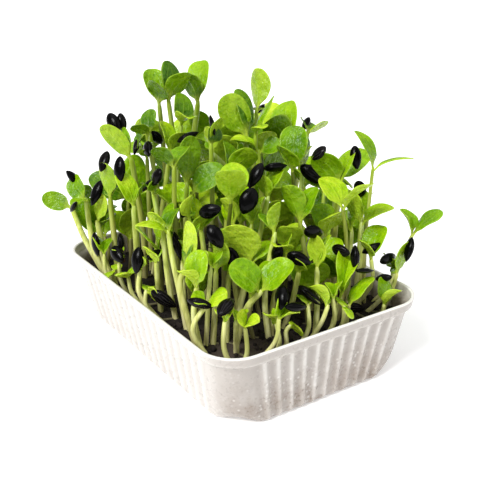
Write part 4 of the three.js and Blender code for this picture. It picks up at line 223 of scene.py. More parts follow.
    {"r": 0.948, "stem": [[-36.66,-10.8,24.3],[-38.35,-9.21,37.78],[-38.67,-7.2,51.27],[-38.35,-5.29,62.83]],
     "blades": [[-42.39,-3.99,72.07,0.897,0.263,0.355,8.5,0.063],[-31.89,1.25,71.92,-0.859,0.183,0.478,8.5,0.052]],
     "hulls": [], "tone": [0.876,0.506], "fat": 1.25},
    {"r": 0.948, "stem": [[-35.79,-38.85,24.3],[-32.23,-35.12,39.68],[-29.39,-31.7,53.06]],
     "blades": [[-29.78,-33.16,67.08,0.984,0.171,0.045,9,0.06],[-21.73,-25.93,57.06,-0.653,0.438,0.618,8,0.08]],
     "hulls": [], "tone": [0.638,0.594], "fat": 1.25},
    {"r": 0.948, "stem": [[-0.91,-60.5,24.3],[3.12,-56.31,38.48],[6.28,-51.69,52.35]],
     "blades": [[8.4,-48.42,64.72,0.983,0.035,-0.178,9.5,0.058],[14.85,-48.31,63.24,-0.777,0.4,0.487,8.5,0.08]],
     "hulls": [[2.23,-48.23,69.03,11.66,-47.65,64.17,-0.135,-0.919,-0.371,6,3.9]], "tone": [0.814,0.682], "fat": 1.25},
    {"r": 0.948, "stem": [[-13.28,-21.17,24.3],[-10.5,-22.57,39.12],[-9.32,-25.04,53.94],[-9.01,-27.61,66.65]],
     "blades": [[-11.46,-26.06,77.1,0.887,0.44,0.143,10,0.08],[-0.94,-24.67,75.95,-0.77,0.211,0.602,8.5,0.08]],
     "hulls": [], "tone": [0.594,0.682], "fat": 1.25},
    {"r": 0.948, "stem": [[-7.04,-23.41,24.3],[-3.87,-21.65,42.22],[-0.72,-22.14,60.14],[1.96,-23.52,75.5]],
     "blades": [[-1.95,-20.99,84.69,0.919,0.212,0.333,9,0.087],[8.81,-23.11,85.94,-0.824,0.191,0.533,8.5,0.057]],
     "hulls": [], "tone": [0.594,0.682], "fat": 1.25},
    {"r": 0.948, "stem": [[-21.7,-9.2,24.3],[-21.98,-11.81,38.14],[-23.58,-13.46,51.98],[-25.52,-14.47,63.85]],
     "blades": [[-26.07,-19.48,72.95,-0.184,0.866,0.466,8.5,0.056],[-16.52,-12.05,68.74,-0.511,0.218,0.831,8,0.111]],
     "hulls": [], "tone": [0.682,0.594], "fat": 1.25},
    {"r": 0.948, "stem": [[-30.6,-40.71,24.3],[-27.01,-35.91,36.29],[-22.49,-30.69,50.07]],
     "blades": [[-23.74,-34.82,59.75,-0.299,0.891,0.341,8.5,0.057],[-18.96,-20.85,50.12,0.577,-0.211,0.789,7,0.123]],
     "hulls": [[-24.55,-33.9,62.64,-22.39,-35.64,52.76,-0.823,-0.562,-0.081,6,3.9]], "tone": [0.506,0.506], "fat": 1.25},
    {"r": 0.948, "stem": [[-12.12,-46.34,24.3],[-9.6,-43.44,36.01],[-6.29,-42.78,47.72],[-3.12,-43.18,57.76]],
     "blades": [[-10.86,-46.67,64.23,0.5,0.355,0.79,8,0.1],[4.39,-35.98,59.76,-0.63,0.489,0.603,8,0.065]],
     "hulls": [[-9.34,-47.91,64.72,-9.51,-43.07,55.76,-0.998,0.039,0.04,6,3.9]], "tone": [0.814,0.682], "fat": 1.25},
    {"r": 0.948, "stem": [[-3.5,-43.21,24.3],[-1.43,-44.89,33.85],[-0.9,-47.17,43.4],[-1.11,-49.38,51.59]],
     "blades": [[-6.01,-52.72,60.49,0.86,0.083,0.504,8.5,0.107],[7.8,-43.91,53.63,-0.429,0.395,0.813,8,0.058]],
     "hulls": [[-7.87,-49.97,61.26,-0.91,-56.5,57.61,-0.715,-0.686,-0.138,6,3.9]], "tone": [0.682,0.682], "fat": 1.25},
    {"r": 0.948, "stem": [[-5.81,-60.5,24.3],[-1.16,-63.69,33.86],[1.14,-65.35,42.29]],
     "blades": [[-3.65,-60.9,50.07,0.878,0.151,0.454,8,0.104],[2.88,-59.31,46.41,0.528,-0.577,0.623,7,0.08]],
     "hulls": [], "tone": [0.788,0.656], "st": 0.848},
    {"r": 0.948, "stem": [[-29,-60,24.3],[-22.86,-63.03,32.66],[-21.08,-62.93,42.43]],
     "blades": [[-19.78,-62.21,51.08,0.337,-0.941,0.028,8,0.071],[-15.42,-67.92,45.46,-0.238,0.292,0.926,7.5,0.093]],
     "hulls": [[-18.06,-60.44,54.54,-22.46,-65.89,47.45,-0.825,-0.063,0.562,6,3.9]], "tone": [0.656,0.788], "st": 0.909},
    {"r": 0.948, "stem": [[-23,-60,24.3],[-19.25,-60.87,29.23],[-18.86,-58.14,38.01]],
     "blades": [[-24.22,-58.82,42.88,0.603,0.358,0.713,6,0.06],[-16.31,-52.04,39.08,-0.925,0.377,0.045,6,0.065]],
     "hulls": [], "tone": [0.788,0.744], "st": 0.874},
    {"r": 1.06, "stem": [[-38.99,-56.99,24.3],[-41.26,-55.33,32.28],[-40.85,-55.55,44.19]],
     "blades": [[-40.47,-59.07,50.55,-0.9,0.356,0.252,7,0.13],[-45.33,-57.74,49.32,0.678,0.24,0.695,6,0.125]],
     "hulls": [], "tone": [0.788,0.832], "st": 0.921},
    {"r": 1.06, "stem": [[-42.5,-45.16,24.3],[-46.91,-42.12,35.88],[-42.01,-45.56,47.53]],
     "blades": [[-36.87,-50.97,51.67,-0.547,0.114,0.829,9,0.101],[-48.15,-44.02,50.29,0.307,-0.356,0.882,8,0.065]],
     "hulls": [[-49.54,-42.65,49.7,-41.66,-49.23,47.24,-0.586,-0.451,-0.673,6,3.9]], "tone": [0.788,0.656], "st": 0.925},
    {"r": 0.948, "stem": [[-34,-57.5,24.3],[-32.71,-58.37,29.24],[-33.39,-57.96,40.07]],
     "blades": [[-31.14,-63.24,44.22,-0.499,0.395,0.771,7,0.108],[-36.46,-58.42,46.65,0.607,-0.761,0.229,7,0.086]],
     "hulls": [], "tone": [0.876,0.876], "st": 0.813},
    {"r": 1.14, "stem": [[-32,-50,24.3],[-33.7,-52.42,32.87],[-35.39,-54.83,41.44]],
     "blades": [[-29.71,-51.93,43.71,-0.508,0.397,0.764,7,0.053],[-33.65,-48.82,43.97,0.637,-0.448,0.627,7,0.118]],
     "hulls": [], "tone": [0.744,0.744], "st": 0.803},
    {"r": 0.948, "stem": [[-17.6,-59.58,24.3],[-15.1,-59.98,27.52],[-14.19,-58.61,32.42],[-12.46,-58.87,34.67]],
     "blades": [[-11.01,-65.29,33.97,0.858,0.141,0.494,6,0.094],[-6.79,-56.22,30.94,0.597,-0.175,0.783,5,0.108]],
     "hulls": [], "tone": [0.876,0.832], "st": 0.967},
    {"r": 0.94, "stem": [[-10.41,-60.5,24.3],[-5.44,-61.53,31.96],[-4.12,-59.41,41.77]],
     "blades": [[-3.07,-52.91,42.84,0.435,-0.214,0.875,7,0.124],[2.15,-56.61,43.34,-0.394,0.425,0.815,7,0.081]],
     "hulls": [], "tone": [0.656,0.656], "st": 0.852},
    {"r": 0.88, "stem": [[-42.5,26.01,24.3],[-44.82,28.35,26.89],[-45.29,30.63,33.67]],
     "blades": [[-40.98,31.73,35.44,-0.392,0.056,0.918,6.5,0.129],[-50.06,26.05,33.12,-0.325,0.229,0.918,6,0.062]],
     "hulls": [], "tone": [0.832,0.832], "st": 0.847},
    {"r": 0.98, "stem": [[-42.5,7.71,24.3],[-45.45,11.21,29.31],[-46.06,13.93,37.13]],
     "blades": [[-51.27,11.86,40.67,0.297,0.566,0.769,7,0.124],[-41.09,17.53,39.86,-0.591,0.232,0.772,7,0.06]],
     "hulls": [], "tone": [0.832,0.788], "st": 0.999},
    {"r": 0.98, "stem": [[-42.5,-8.95,24.3],[-46.96,-4.5,29.85],[-46.34,-3.09,37.1]],
     "blades": [[-43.52,-10.94,36.47,0.893,0.293,0.34,7.5,0.06],[-41.26,1.04,35.55,0.107,0.231,0.967,6,0.096]],
     "hulls": [[-46.41,-7.76,38.95,-39.19,-15.7,32.75,-0.754,-0.656,-0.036,6,3.9]], "tone": [0.832,0.788], "st": 0.894},
    {"r": 1.06, "stem": [[-42.5,-5.06,24.3],[-47.61,0.16,34.28],[-46.48,1.24,45.25]],
     "blades": [[-48.46,2.22,51.82,0.948,0.183,0.26,8,0.123],[-41.97,3.89,49.67,-0.735,0.147,0.662,8,0.067]],
     "hulls": [[-45.76,2.55,55.16,-49.19,-0.24,44.64,-0.822,-0.425,0.38,6,3.9]], "tone": [0.7,0.656], "st": 0.967},
    {"r": 0.948, "stem": [[-42.5,22.02,24.3],[-45.49,22.37,32.35],[-46.59,21.09,41.38]],
     "blades": [[-48.52,21.3,48,0.932,0.248,0.264,7.5,0.075],[-43.19,24.21,47.19,-0.879,0.083,0.469,7.5,0.075]],
     "hulls": [[-47.59,25.17,47.89,-46.9,15.34,44,-0.836,-0.251,0.488,6,3.9],[-42.94,25.95,53.27,-44.36,22.3,43.79,-0.906,0.422,-0.027,4.6,3.55]], "tone": [0.656,0.568], "st": 0.895},
    {"r": 0.948, "stem": [[-36.73,-18.85,24.3],[-33.99,-13.64,36.07],[-31.27,-8.03,48.54]],
     "blades": [[-32.33,-5.35,57.91,0.994,0.057,0.096,8,0.13],[-25.08,-4.53,53.69,-0.704,0.301,0.643,8,0.121]],
     "hulls": [[-32.2,-3.77,61.14,-32.41,-9.08,49.94,-0.889,0.421,-0.183,4.6,3.78]], "tone": [0.656,0.48], "st": 0.928},
    {"r": 0.948, "stem": [[-24.97,10.15,24.3],[-28.2,10.62,41.44],[-30.19,12.69,58.57],[-31.35,15.14,73.26]],
     "blades": [[-32.49,8.93,81.44,-0.348,0.769,0.536,8,0.06],[-28.93,25.94,73.54,0.504,-0.135,0.853,7,0.053]],
     "hulls": [[-32.57,5.03,85.97,-33.81,11.18,77.97,-0.958,0.135,0.252,6,3.9],[-30.34,19.4,76.93,-29.96,27.14,70.13,-0.618,0.536,0.575,4.6,2.64]], "tone": [0.48,0.304], "fat": 1.2},
    {"r": 0.98, "stem": [[3.14,-60.5,24.3],[6.45,-63.32,32.8],[5.35,-63.35,42.94]],
     "blades": [[11.32,-60.89,48.32,-0.696,0.429,0.576,7,0.064],[6,-58.54,48.37,0.503,-0.676,0.539,7,0.119]],
     "hulls": [], "tone": [0.7,0.656], "st": 0.83},
    {"r": 0.98, "stem": [[10.9,-60.5,24.3],[11.49,-63.1,31.23],[10.1,-64.78,39.1]],
     "blades": [[7.96,-70.89,38.27,0.492,-0.284,0.823,6,0.104],[12.2,-58.58,40.04,0.483,-0.289,0.826,6,0.071]],
     "hulls": [], "tone": [0.832,0.744], "st": 0.927},
    {"r": 0.88, "stem": [[-42.5,29.4,24.3],[-47.03,33.58,31.01],[-47.15,35.16,40.45]],
     "blades": [[-47.58,41.62,47.74,0.628,-0.564,0.536,8,0.1],[-41.68,39.43,46.15,-0.763,0.132,0.633,8,0.093]],
     "hulls": [[-48.73,40.93,50.18,-49.62,36.39,39.62,-0.992,0.123,0.031,6,3.9]], "tone": [0.656,0.568], "st": 0.974},
    {"r": 0.948, "stem": [[-38.55,-37.95,24.3],[-37.47,-38.22,42.41],[-36.24,-38.88,58.26]],
     "blades": [[-35.25,-33.81,62.98,0.581,-0.613,0.536,8,0.12],[-30.56,-36.61,62.84,-0.669,0.304,0.678,8,0.064]],
     "hulls": [], "tone": [0.7,0.568], "st": 0.905},
    {"r": 0.908, "stem": [[-29.74,44.88,24.3],[-28.89,45.21,30.86],[-28.36,45.41,36.6],[-28.06,45.52,40.7]],
     "blades": [[-31.8,54.16,50.85,0.292,-0.673,0.68,9.23,0.052],[-29.05,41.59,56.43,0.237,0.939,0.25,10.49,0.067]],
     "hulls": [], "tone": [0.739,0.703], "st": 0.072, "grow": 1.3, "wide": [1.4,1.3]},
    {"r": 0.908, "stem": [[42.4,-6.78,24.3],[43.89,-6.88,31.1],[43.13,-6.76,37.06],[41.75,-6.59,41.31]],
     "blades": [[54.818,-4.066,42.446,0.105,-0.804,0.585,12.295,0.084],[37.19,-8.2,56.23,0.898,0.316,0.308,11.17,0.11]],
     "hulls": [], "tone": [0.748,0.66], "st": 0.114, "grow": 1.3, "wide": [1.08,1.45]},
    {"r": 0.908, "stem": [[21.1,-6.77,24.3],[18.68,-7.23,35.42],[18.01,-9.36,45.15],[18.13,-11.59,52.1]],
     "blades": [[27.12,-8.9,62.99,-0.726,-0.217,0.653,11.16,0.085],[13.55,-15.25,67.21,0.728,0.582,0.362,10.01,0.067]],
     "hulls": [], "tone": [0.364,0.805], "st": 0.145, "grow": 1.3},
    {"r": 0.908, "stem": [[8.64,-7.74,24.3],[11.49,-7.52,33.89],[11.93,-8.38,42.28],[11.4,-9.43,48.27]],
     "blades": [[13.06,-0.66,58.24,-0.138,-0.732,0.667,10.99,0.101],[12.21,-17.04,59.4,-0.086,0.82,0.566,9.64,0.056]],
     "hulls": [], "tone": [0.728,0.812], "st": 0.189, "grow": 1.3},
    {"r": 0.908, "stem": [[11.44,45.66,24.3],[10.47,46.96,34.32],[10.37,46.33,43.1],[10.61,45.15,49.36]],
     "blades": [[10,40.59,63.61,0.126,0.943,0.307,10.97,0.095],[14.85,47.5,62.8,-0.822,-0.456,0.34,8.79,0.089]],
     "hulls": [], "tone": [0.834,0.557], "st": 0.204, "grow": 1.3},
    {"r": 0.908, "stem": [[23.88,-34.55,24.3],[24.96,-35.03,37.73],[24.82,-35.16,49.48],[24.28,-35.14,57.88]],
     "blades": [[24.23,-29.7,68.14,0.007,-0.884,0.468,10.05,0.058],[22.79,-45.22,69.79,0.111,0.752,0.65,8.87,0.111]],
     "hulls": [], "tone": [0.583,0.842], "st": 0.218, "grow": 1.3},
    {"r": 0.908, "stem": [[13.92,-26.83,24.3],[17.9,-24.02,47.93],[18.6,-21.11,68.61],[17.94,-18.84,83.38]],
     "blades": [[21.61,-15.48,99.08,-0.702,-0.645,0.303,9.6,0.053],[12.29,-18.99,93.41,0.871,0.022,0.491,10.61,0.073]],
     "hulls": [], "tone": [0.399,0.42], "st": 0.099, "grow": 1.3},
    {"r": 0.908, "stem": [[24.33,36.23,24.3],[23.9,37.03,45.55],[24.78,37.58,64.14],[25.94,37.93,77.42]],
     "blades": [[26.36,42.89,89.24,-0.078,-0.918,0.388,10.46,0.094],[22.56,30.24,90.91,0.341,0.777,0.529,11.03,0.085]],
     "hulls": [], "tone": [0.858,0.578], "st": 0.173, "grow": 1.3},
    {"r": 0.908, "stem": [[-6.63,-31.35,24.3],[-8.17,-30.32,31.38],[-8.11,-30.62,37.58],[-7.49,-31.33,42]],
     "blades": [[-10.44,-34.49,52.99,0.635,0.68,0.366,9.92,0.076],[0.3,-26.73,50.9,-0.604,-0.357,0.713,9.73,0.11]],
     "hulls": [], "tone": [0.507,0.616], "st": 0.129, "grow": 1.3},
    {"r": 0.908, "stem": [[18.1,38.82,24.3],[15.45,37.74,43.7],[12.79,37.9,60.68],[10.75,38.49,72.8]],
     "blades": [[2.34,35.46,86.38,0.786,0.282,0.55,10.93,0.088],[15.28,41.26,86.72,-0.797,-0.488,0.356,9.03,0.076]],
     "hulls": [], "tone": [0.533,0.657], "st": 0.165, "grow": 1.3},
    {"r": 0.908, "stem": [[-12.47,20.11,24.3],[-12.45,21.11,38.42],[-13.49,20.98,50.77],[-14.67,20.47,59.59]],
     "blades": [[-18.61,12.18,67.34,0.277,0.583,0.764,9,0.058],[-12.17,30.2,68.22,-0.162,-0.631,0.759,10.22,0.057]],
     "hulls": [], "tone": [0.825,0.708], "st": 0.227, "grow": 1.3},
    {"r": 0.908, "stem": [[20.39,-49.75,24.3],[22.33,-51.89,44.39],[22.1,-50.71,61.97],[21.13,-48.6,74.53]],
     "blades": [[23.81,-59.81,85.02,-0.157,0.655,0.74,9.09,0.062],[20.24,-38.21,83.28,0.055,-0.64,0.766,10.34,0.108]],
     "hulls": [], "tone": [0.8,0.871], "st": 0.181, "grow": 1.3, "wide": [1.4,1.3]},
    {"r": 0.908, "stem": [[11.23,51.61,24.3],[13.48,52.79,46.85],[15.68,53.14,66.59],[17.34,53.1,80.68]],
     "blades": [[14.5,50.81,94.95,0.755,0.607,0.248,8.75,0.081],[8.316,61.116,88.002,-0.386,-0.82,0.422,11.612,0.091]],
     "hulls": [], "tone": [0.434,0.802], "st": 0.234, "grow": 1.3, "wide": [1.3,1.08]},
    {"r": 0.908, "stem": [[26.84,10.72,24.3],[27.96,8.24,37.6],[27.98,7.02,49.24],[27.59,6.53,57.55]],
     "blades": [[22.39,2.41,67.76,0.657,0.521,0.545,10.29,0.108],[36.55,11.5,69.96,-0.674,-0.374,0.637,8.95,0.068]],
     "hulls": [], "tone": [0.826,0.648], "st": 0.188, "grow": 1.3, "wide": [1.4,1.3]},
    {"r": 0.908, "stem": [[9.83,30.19,24.3],[11.48,25.15,45],[10.28,22.26,63.11],[8.33,20.81,76.05]],
     "blades": [[15.87,28.57,86.12,-0.475,-0.489,0.732,9.86,0.103],[6.5,16.81,90.41,0.397,0.87,0.293,9.17,0.063]],
     "hulls": [], "tone": [0.459,0.787], "st": 0.163, "grow": 1.3},
    {"r": 0.908, "stem": [[38.77,23.97,24.3],[37.5,25.53,41.54],[37.46,24.59,56.62],[37.88,22.97,67.39]],
     "blades": [[37.94,33.31,77.71,-0.004,-0.706,0.708,9.94,0.099],[37.7,18.87,78.76,0.04,0.94,0.339,9.93,0.055]],
     "hulls": [], "tone": [0.498,0.382], "st": 0.214, "grow": 1.3},
    {"r": 0.908, "stem": [[-15.48,52.28,24.3],[-16.08,50.49,33.18],[-15.83,50.33,40.95],[-15.33,50.79,46.5]],
     "blades": [[-12.59,55.09,62.06,-0.511,-0.801,0.311,8.93,0.117],[-16.96,46.76,59.66,0.356,0.88,0.314,9.24,0.094]],
     "hulls": [], "tone": [0.871,0.395], "st": 0.204, "grow": 1.3},
    {"r": 0.908, "stem": [[23.36,51.67,24.3],[22.91,50.99,32.93],[22.42,49.87,40.48],[22.04,48.86,45.87]],
     "blades": [[30.38,51.13,59.47,-0.814,-0.222,0.536,10.14,0.091],[14.64,46.89,58.05,0.818,0.218,0.532,9.55,0.091]],
     "hulls": [], "tone": [0.565,0.428], "st": 0.113, "grow": 1.3},
    {"r": 0.908, "stem": [[4.71,-31,24.3],[6.66,-30.29,34.55],[6.98,-31.07,43.51],[6.64,-32.2,49.92]],
     "blades": [[4.14,-35.97,64.14,0.526,0.795,0.303,8.69,0.086],[14.63,-27.4,60.29,-0.637,-0.383,0.669,9.59,0.11]],
     "hulls": [], "tone": [0.754,0.809], "st": 0.068, "grow": 1.3},
    {"r": 0.908, "stem": [[0.96,-4.42,24.3],[1.88,-5.28,37.77],[1.29,-5.8,49.56],[0.3,-6.08,57.97]],
     "blades": [[3.99,-5.81,72.39,-0.966,-0.069,0.248,10.28,0.106],[-3.78,-7.55,72.38,0.901,0.325,0.289,10.75,0.081]],
     "hulls": [], "tone": [0.672,0.372], "st": 0.189, "grow": 1.3},
    {"r": 0.908, "stem": [[-24.67,18.62,24.3],[-23.73,18.48,31.29],[-22.55,18.25,37.4],[-21.56,18.03,41.77]],
     "blades": [[-25.1,10.79,53.32,0.361,0.736,0.572,9.52,0.106],[-21.99,27.87,53.73,0.034,-0.771,0.636,9.11,0.066]],
     "hulls": [], "tone": [0.523,0.813], "st": 0.237, "grow": 1.3},
    {"r": 0.908, "stem": [[38.83,41.21,24.3],[40.11,42.32,46.39],[40.96,42.45,65.72],[41.45,42.2,79.53]],
     "blades": [[34.77,39.45,91.52,0.792,0.326,0.516,9.77,0.088],[53.556,43.337,94.288,-0.76,-0.138,0.634,10.98,0.112]],
     "hulls": [], "tone": [0.615,0.875], "st": 0.116, "grow": 1.3, "wide": [1.3,1.08]},
    {"r": 0.908, "stem": [[38.95,-12,24.3],[36.91,-11.55,35.92],[36.9,-12.92,46.1],[37.63,-14.63,53.36]],
     "blades": [[48.79,-12.07,64.97,-0.694,-0.159,0.702,10.08,0.108],[28.45,-21.46,61.57,0.468,0.348,0.813,10.28,0.053]],
     "hulls": [], "tone": [0.389,0.665], "st": 0.066, "grow": 1.3, "wide": [1.43,1.3]},
    {"r": 0.908, "stem": [[-34.64,59.76,24.3],[-34.28,57.76,30.07],[-34.31,59.3,35.12],[-34.47,61.77,38.73]],
     "blades": [[-43.179,69.087,53.905,-0.081,-0.915,0.395,12.182,0.059],[-29.19,63.49,49.55,-0.846,-0.276,0.457,8.99,0.057]],
     "hulls": [], "tone": [0.452,0.563], "st": 0.17, "grow": 1.3, "wide": [1.08,1.3]},
    {"r": 0.908, "stem": [[3.08,58.25,24.3],[2.99,58.14,38.13],[2.31,57.42,50.24],[1.57,56.65,58.88]],
     "blades": [[-3.174,68.501,63.072,-0.502,-0.46,0.733,11.351,0.075],[-3.71,61.98,71.16,0.6,-0.606,0.522,9.44,0.104]],
     "hulls": [], "tone": [0.43,0.37], "st": 0.216, "grow": 1.3, "wide": [1.2,1.3]},
    {"r": 0.908, "stem": [[40.79,30.16,24.3],[36.68,31.15,38.01],[34.63,32.23,50],[33.8,33.09,58.57]],
     "blades": [[30.9,28.89,70.11,0.52,0.753,0.404,9.86,0.074],[39.81,40.79,68.77,-0.444,-0.569,0.692,9.83,0.059]],
     "hulls": [], "tone": [0.514,0.854], "st": 0.221, "grow": 1.3, "wide": [1.3,1.5]},
    {"r": 0.908, "stem": [[39.81,50.64,24.3],[41.51,48.6,41.93],[42.35,48.42,57.36],[42.67,48.95,68.38]],
     "blades": [[55.814,35.466,65.23,-0.496,-0.625,0.603,11.588,0.113],[38.62,47.07,79.75,0.844,0.392,0.366,10.76,0.106]],
     "hulls": [], "tone": [0.547,0.591], "st": 0.154, "grow": 1.3, "wide": [1.35,1.3]},
    {"r": 0.908, "stem": [[-7.49,55.84,24.3],[-8.28,57.82,45.87],[-7.99,57.9,64.74],[-7.37,57.27,78.22]],
     "blades": [[-10.6,54.42,93.62,0.722,0.637,0.269,10.72,0.069],[-14.65,71.704,78.099,-0.297,-0.142,0.944,10.829,0.053]],
     "hulls": [], "tone": [0.688,0.663], "st": 0.161, "grow": 1.3, "wide": [1.5,1.08]},
    {"r": 0.908, "stem": [[37.67,-2.39,24.3],[37.58,-1.05,41.06],[38.55,-0.79,55.73],[39.67,-0.98,66.21]],
     "blades": [[44.51,-0.98,79.19,-0.937,0.001,0.349,10.8,0.098],[32.89,0.21,77.79,0.847,-0.148,0.511,8.82,0.076]],
     "hulls": [], "tone": [0.675,0.845], "st": 0.151, "grow": 1.3},
    {"r": 0.908, "stem": [[-19.1,-43.39,24.3],[-20.45,-42.47,31.33],[-20.07,-42.29,37.49],[-19.16,-42.41,41.88]],
     "blades": [[-12.77,-43.16,54.79,-0.889,0.103,0.447,8.9,0.063],[-24.38,-41.2,54.44,0.896,-0.208,0.392,10.54,0.056]],
     "hulls": [], "tone": [0.576,0.728], "st": 0.103, "grow": 1.3},
    {"r": 0.908, "stem": [[-5.94,20.34,24.3],[-5.87,22.05,33.78],[-6.25,22.83,42.07],[-6.7,23.08,48]],
     "blades": [[-8.68,28.1,60.88,0.339,-0.858,0.387,10.68,0.074],[5.332,29.123,61.03,-0.434,-0.595,0.677,11.538,0.066]],
     "hulls": [], "tone": [0.507,0.864], "st": 0.154, "grow": 1.3, "wide": [1.3,1.08]},
    {"r": 0.908, "stem": [[-3.68,24.69,24.3],[-1.78,27.38,41.59],[-1.52,27.76,56.71],[-1.92,27.21,67.52]],
     "blades": [[-1.07,19.44,80.3,-0.093,0.848,0.522,10.05,0.12],[-5.06,29.88,79.78,0.722,-0.614,0.319,9.35,0.117]],
     "hulls": [], "tone": [0.638,0.354], "st": 0.135, "grow": 1.3},
    {"r": 0.908, "stem": [[-18.66,60.5,24.3],[-18.86,62.83,31.83],[-18,62.69,38.42],[-16.95,61.69,43.13]],
     "blades": [[-10.44,69.12,54.02,-0.488,-0.557,0.672,8.79,0.118],[-21.29,55.96,56.1,0.528,0.697,0.485,9.84,0.057]],
     "hulls": [], "tone": [0.654,0.359], "st": 0.171, "grow": 1.3},
    {"r": 0.908, "stem": [[20.41,-42.04,24.3],[21.57,-41.71,30.73],[20.99,-42.35,36.36],[19.91,-43.18,40.39]],
     "blades": [[25.26,-40.18,55.06,-0.805,-0.451,0.386,8.76,0.086],[16.44,-43.68,51.56,0.944,0.136,0.299,10.7,0.1]],
     "hulls": [], "tone": [0.682,0.38], "st": 0.173, "grow": 1.3},
    {"r": 0.908, "stem": [[23.25,60.5,24.3],[22.67,58.63,38.4],[23.88,58.12,50.74],[25.45,58.21,59.55]],
     "blades": [[17.73,57.77,69.4,0.785,0.045,0.618,10.1,0.117],[29.12,59.31,73.98,-0.926,-0.278,0.257,9.7,0.097]],
     "hulls": [], "tone": [0.594,0.707], "st": 0.123, "grow": 1.3},
    {"r": 0.908, "stem": [[-34.04,5.49,24.3],[-34.88,4.12,34.41],[-35.24,3.99,43.25],[-35.34,4.35,49.57]],
     "blades": [[-44.4,5.83,60.48,0.755,-0.123,0.644,9.48,0.058],[-31.52,3.04,64.57,-0.914,0.313,0.26,9.43,0.113]],
     "hulls": [], "tone": [0.721,0.738], "st": 0.064, "grow": 1.3},
    {"r": 0.908, "stem": [[42.5,-26.36,24.3],[45.47,-24.26,31.92],[45.89,-24.93,38.59],[45.29,-26.45,43.35]],
     "blades": [[42.65,-28.28,55.08,0.791,0.551,0.264,10.69,0.051],[48.9,-23.59,58.25,-0.749,-0.593,0.295,10.95,0.074]],
     "hulls": [], "tone": [0.38,0.705], "st": 0.233, "grow": 1.3, "wide": [1.45,1.3]},
    {"r": 0.908, "stem": [[39.14,55.87,24.3],[39.84,55.64,34.18],[38.35,55.78,42.82],[36.41,56.01,49]],
     "blades": [[52.767,45.923,51.704,-0.526,-0.742,0.415,11.448,0.081],[37.03,48.16,61.55,-0.067,0.844,0.532,10.01,0.07]],
     "hulls": [], "tone": [0.481,0.589], "st": 0.167, "grow": 1.3, "wide": [1.08,1.3]},
    {"r": 0.908, "stem": [[7.1,-46.4,24.3],[5.99,-46.39,30.35],[6.76,-46.22,35.65],[8.03,-46.04,39.44]],
     "blades": [[8.58,-36.17,50.47,-0.041,-0.743,0.667,10.28,0.089],[6.28,-49.23,52.2,0.462,0.843,0.274,10.97,0.111]],
     "hulls": [], "tone": [0.517,0.54], "st": 0.116, "grow": 1.3},
    {"r": 0.908, "stem": [[-15.86,15.28,24.3],[-16.73,16.91,37.15],[-17.25,17.8,48.4],[-17.53,18.22,56.43]],
     "blades": [[-10.19,11.76,62.81,-0.41,0.361,0.838,8.91,0.076],[-24.07,22.44,69.3,0.719,-0.463,0.518,9.49,0.054]],
     "hulls": [], "tone": [0.543,0.662], "st": 0.114, "grow": 1.3},
    {"r": 0.908, "stem": [[28.07,14.76,24.3],[26.19,13.97,46.95],[24.55,12.35,66.76],[23.37,10.81,80.92]],
     "blades": [[23.23,16.25,92.7,0.022,-0.908,0.419,10.98,0.076],[22.83,7.8,92.43,0.171,0.951,0.257,11.1,0.105]],
     "hulls": [], "tone": [0.547,0.756], "st": 0.065, "grow": 1.3},
    {"r": 0.908, "stem": [[-17.9,-19.73,24.3],[-17.14,-20.01,45.35],[-16.83,-21.78,63.77],[-16.75,-23.69,76.93]],
     "blades": [[-21.48,-29.38,91.05,0.566,0.681,0.464,9.72,0.066],[-9.89,-15.77,88.82,-0.491,-0.567,0.661,9.33,0.102]],
     "hulls": [], "tone": [0.649,0.736], "st": 0.116, "grow": 1.3},
    {"r": 0.908, "stem": [[-34.22,-22.54,24.3],[-34.53,-22.48,29.97],[-33.34,-23.03,34.94],[-31.89,-23.67,38.48]],
     "blades": [[-30.38,-28.15,49.5,-0.293,0.871,0.395,10.57,0.067],[-32.83,-20.62,49.88,0.285,-0.92,0.269,10.81,0.088]],
     "hulls": [], "tone": [0.465,0.772], "st": 0.103, "grow": 1.3},
    {"r": 0.908, "stem": [[9.37,59.14,24.3],[13.19,59.15,33.73],[15.07,59.31,41.99],[15.8,59.47,47.88]],
     "blades": [[20.53,56.8,61.74,-0.81,0.459,0.365,9.32,0.098],[9.75,63.85,57.92,0.65,-0.47,0.597,9.49,0.063]],
     "hulls": [], "tone": [0.298,0.408], "st": 0.341, "grow": 1.25},
    {"r": 0.908, "stem": [[-4.09,-11.75,24.3],[-3.32,-10.97,33.62],[-5.4,-11.69,41.78],[-8.02,-12.79,47.6]],
     "blades": [[-17.93,-14.53,54.11,0.534,0.094,0.84,11.01,0.054],[2.9,-14.48,56.05,-0.6,0.093,0.794,9.77,0.057]],
     "hulls": [], "tone": [0.261,0.358], "st": 0.247, "grow": 1.25},
    {"r": 0.908, "stem": [[19.19,30.22,24.3],[20.94,29.99,39.34],[22.58,28.99,52.5],[23.8,27.94,61.9]],
     "blades": [[12.71,31.47,71.53,0.607,-0.194,0.771,10.91,0.106],[30.15,28.55,75.71,-0.903,-0.087,0.42,9.2,0.118]],
     "hulls": [], "tone": [0.583,0.409], "st": 0.382, "grow": 1.25},
    {"r": 0.908, "stem": [[10.56,12.04,24.3],[9.09,13.13,39.99],[6.31,14.06,53.73],[3.71,14.71,63.53]],
     "blades": [[4.88,21.1,77.71,-0.163,-0.894,0.417,9.2,0.108],[3.3,3.01,72.27,0.021,0.598,0.802,8.65,0.086]],
     "hulls": [], "tone": [0.29,0.364], "st": 0.329, "grow": 1.25},
    {"r": 0.908, "stem": [[23.17,41.46,24.3],[25.7,42.51,38.51],[27.58,43.41,50.95],[28.79,44.04,59.83]],
     "blades": [[25.62,39.64,70.18,0.518,0.718,0.464,9.64,0.118],[35.843,48.663,75.955,-0.133,-0.936,0.327,10.885,0.066]],
     "hulls": [], "tone": [0.605,0.414], "st": 0.219, "grow": 1.25, "wide": [1.25,1.08]},
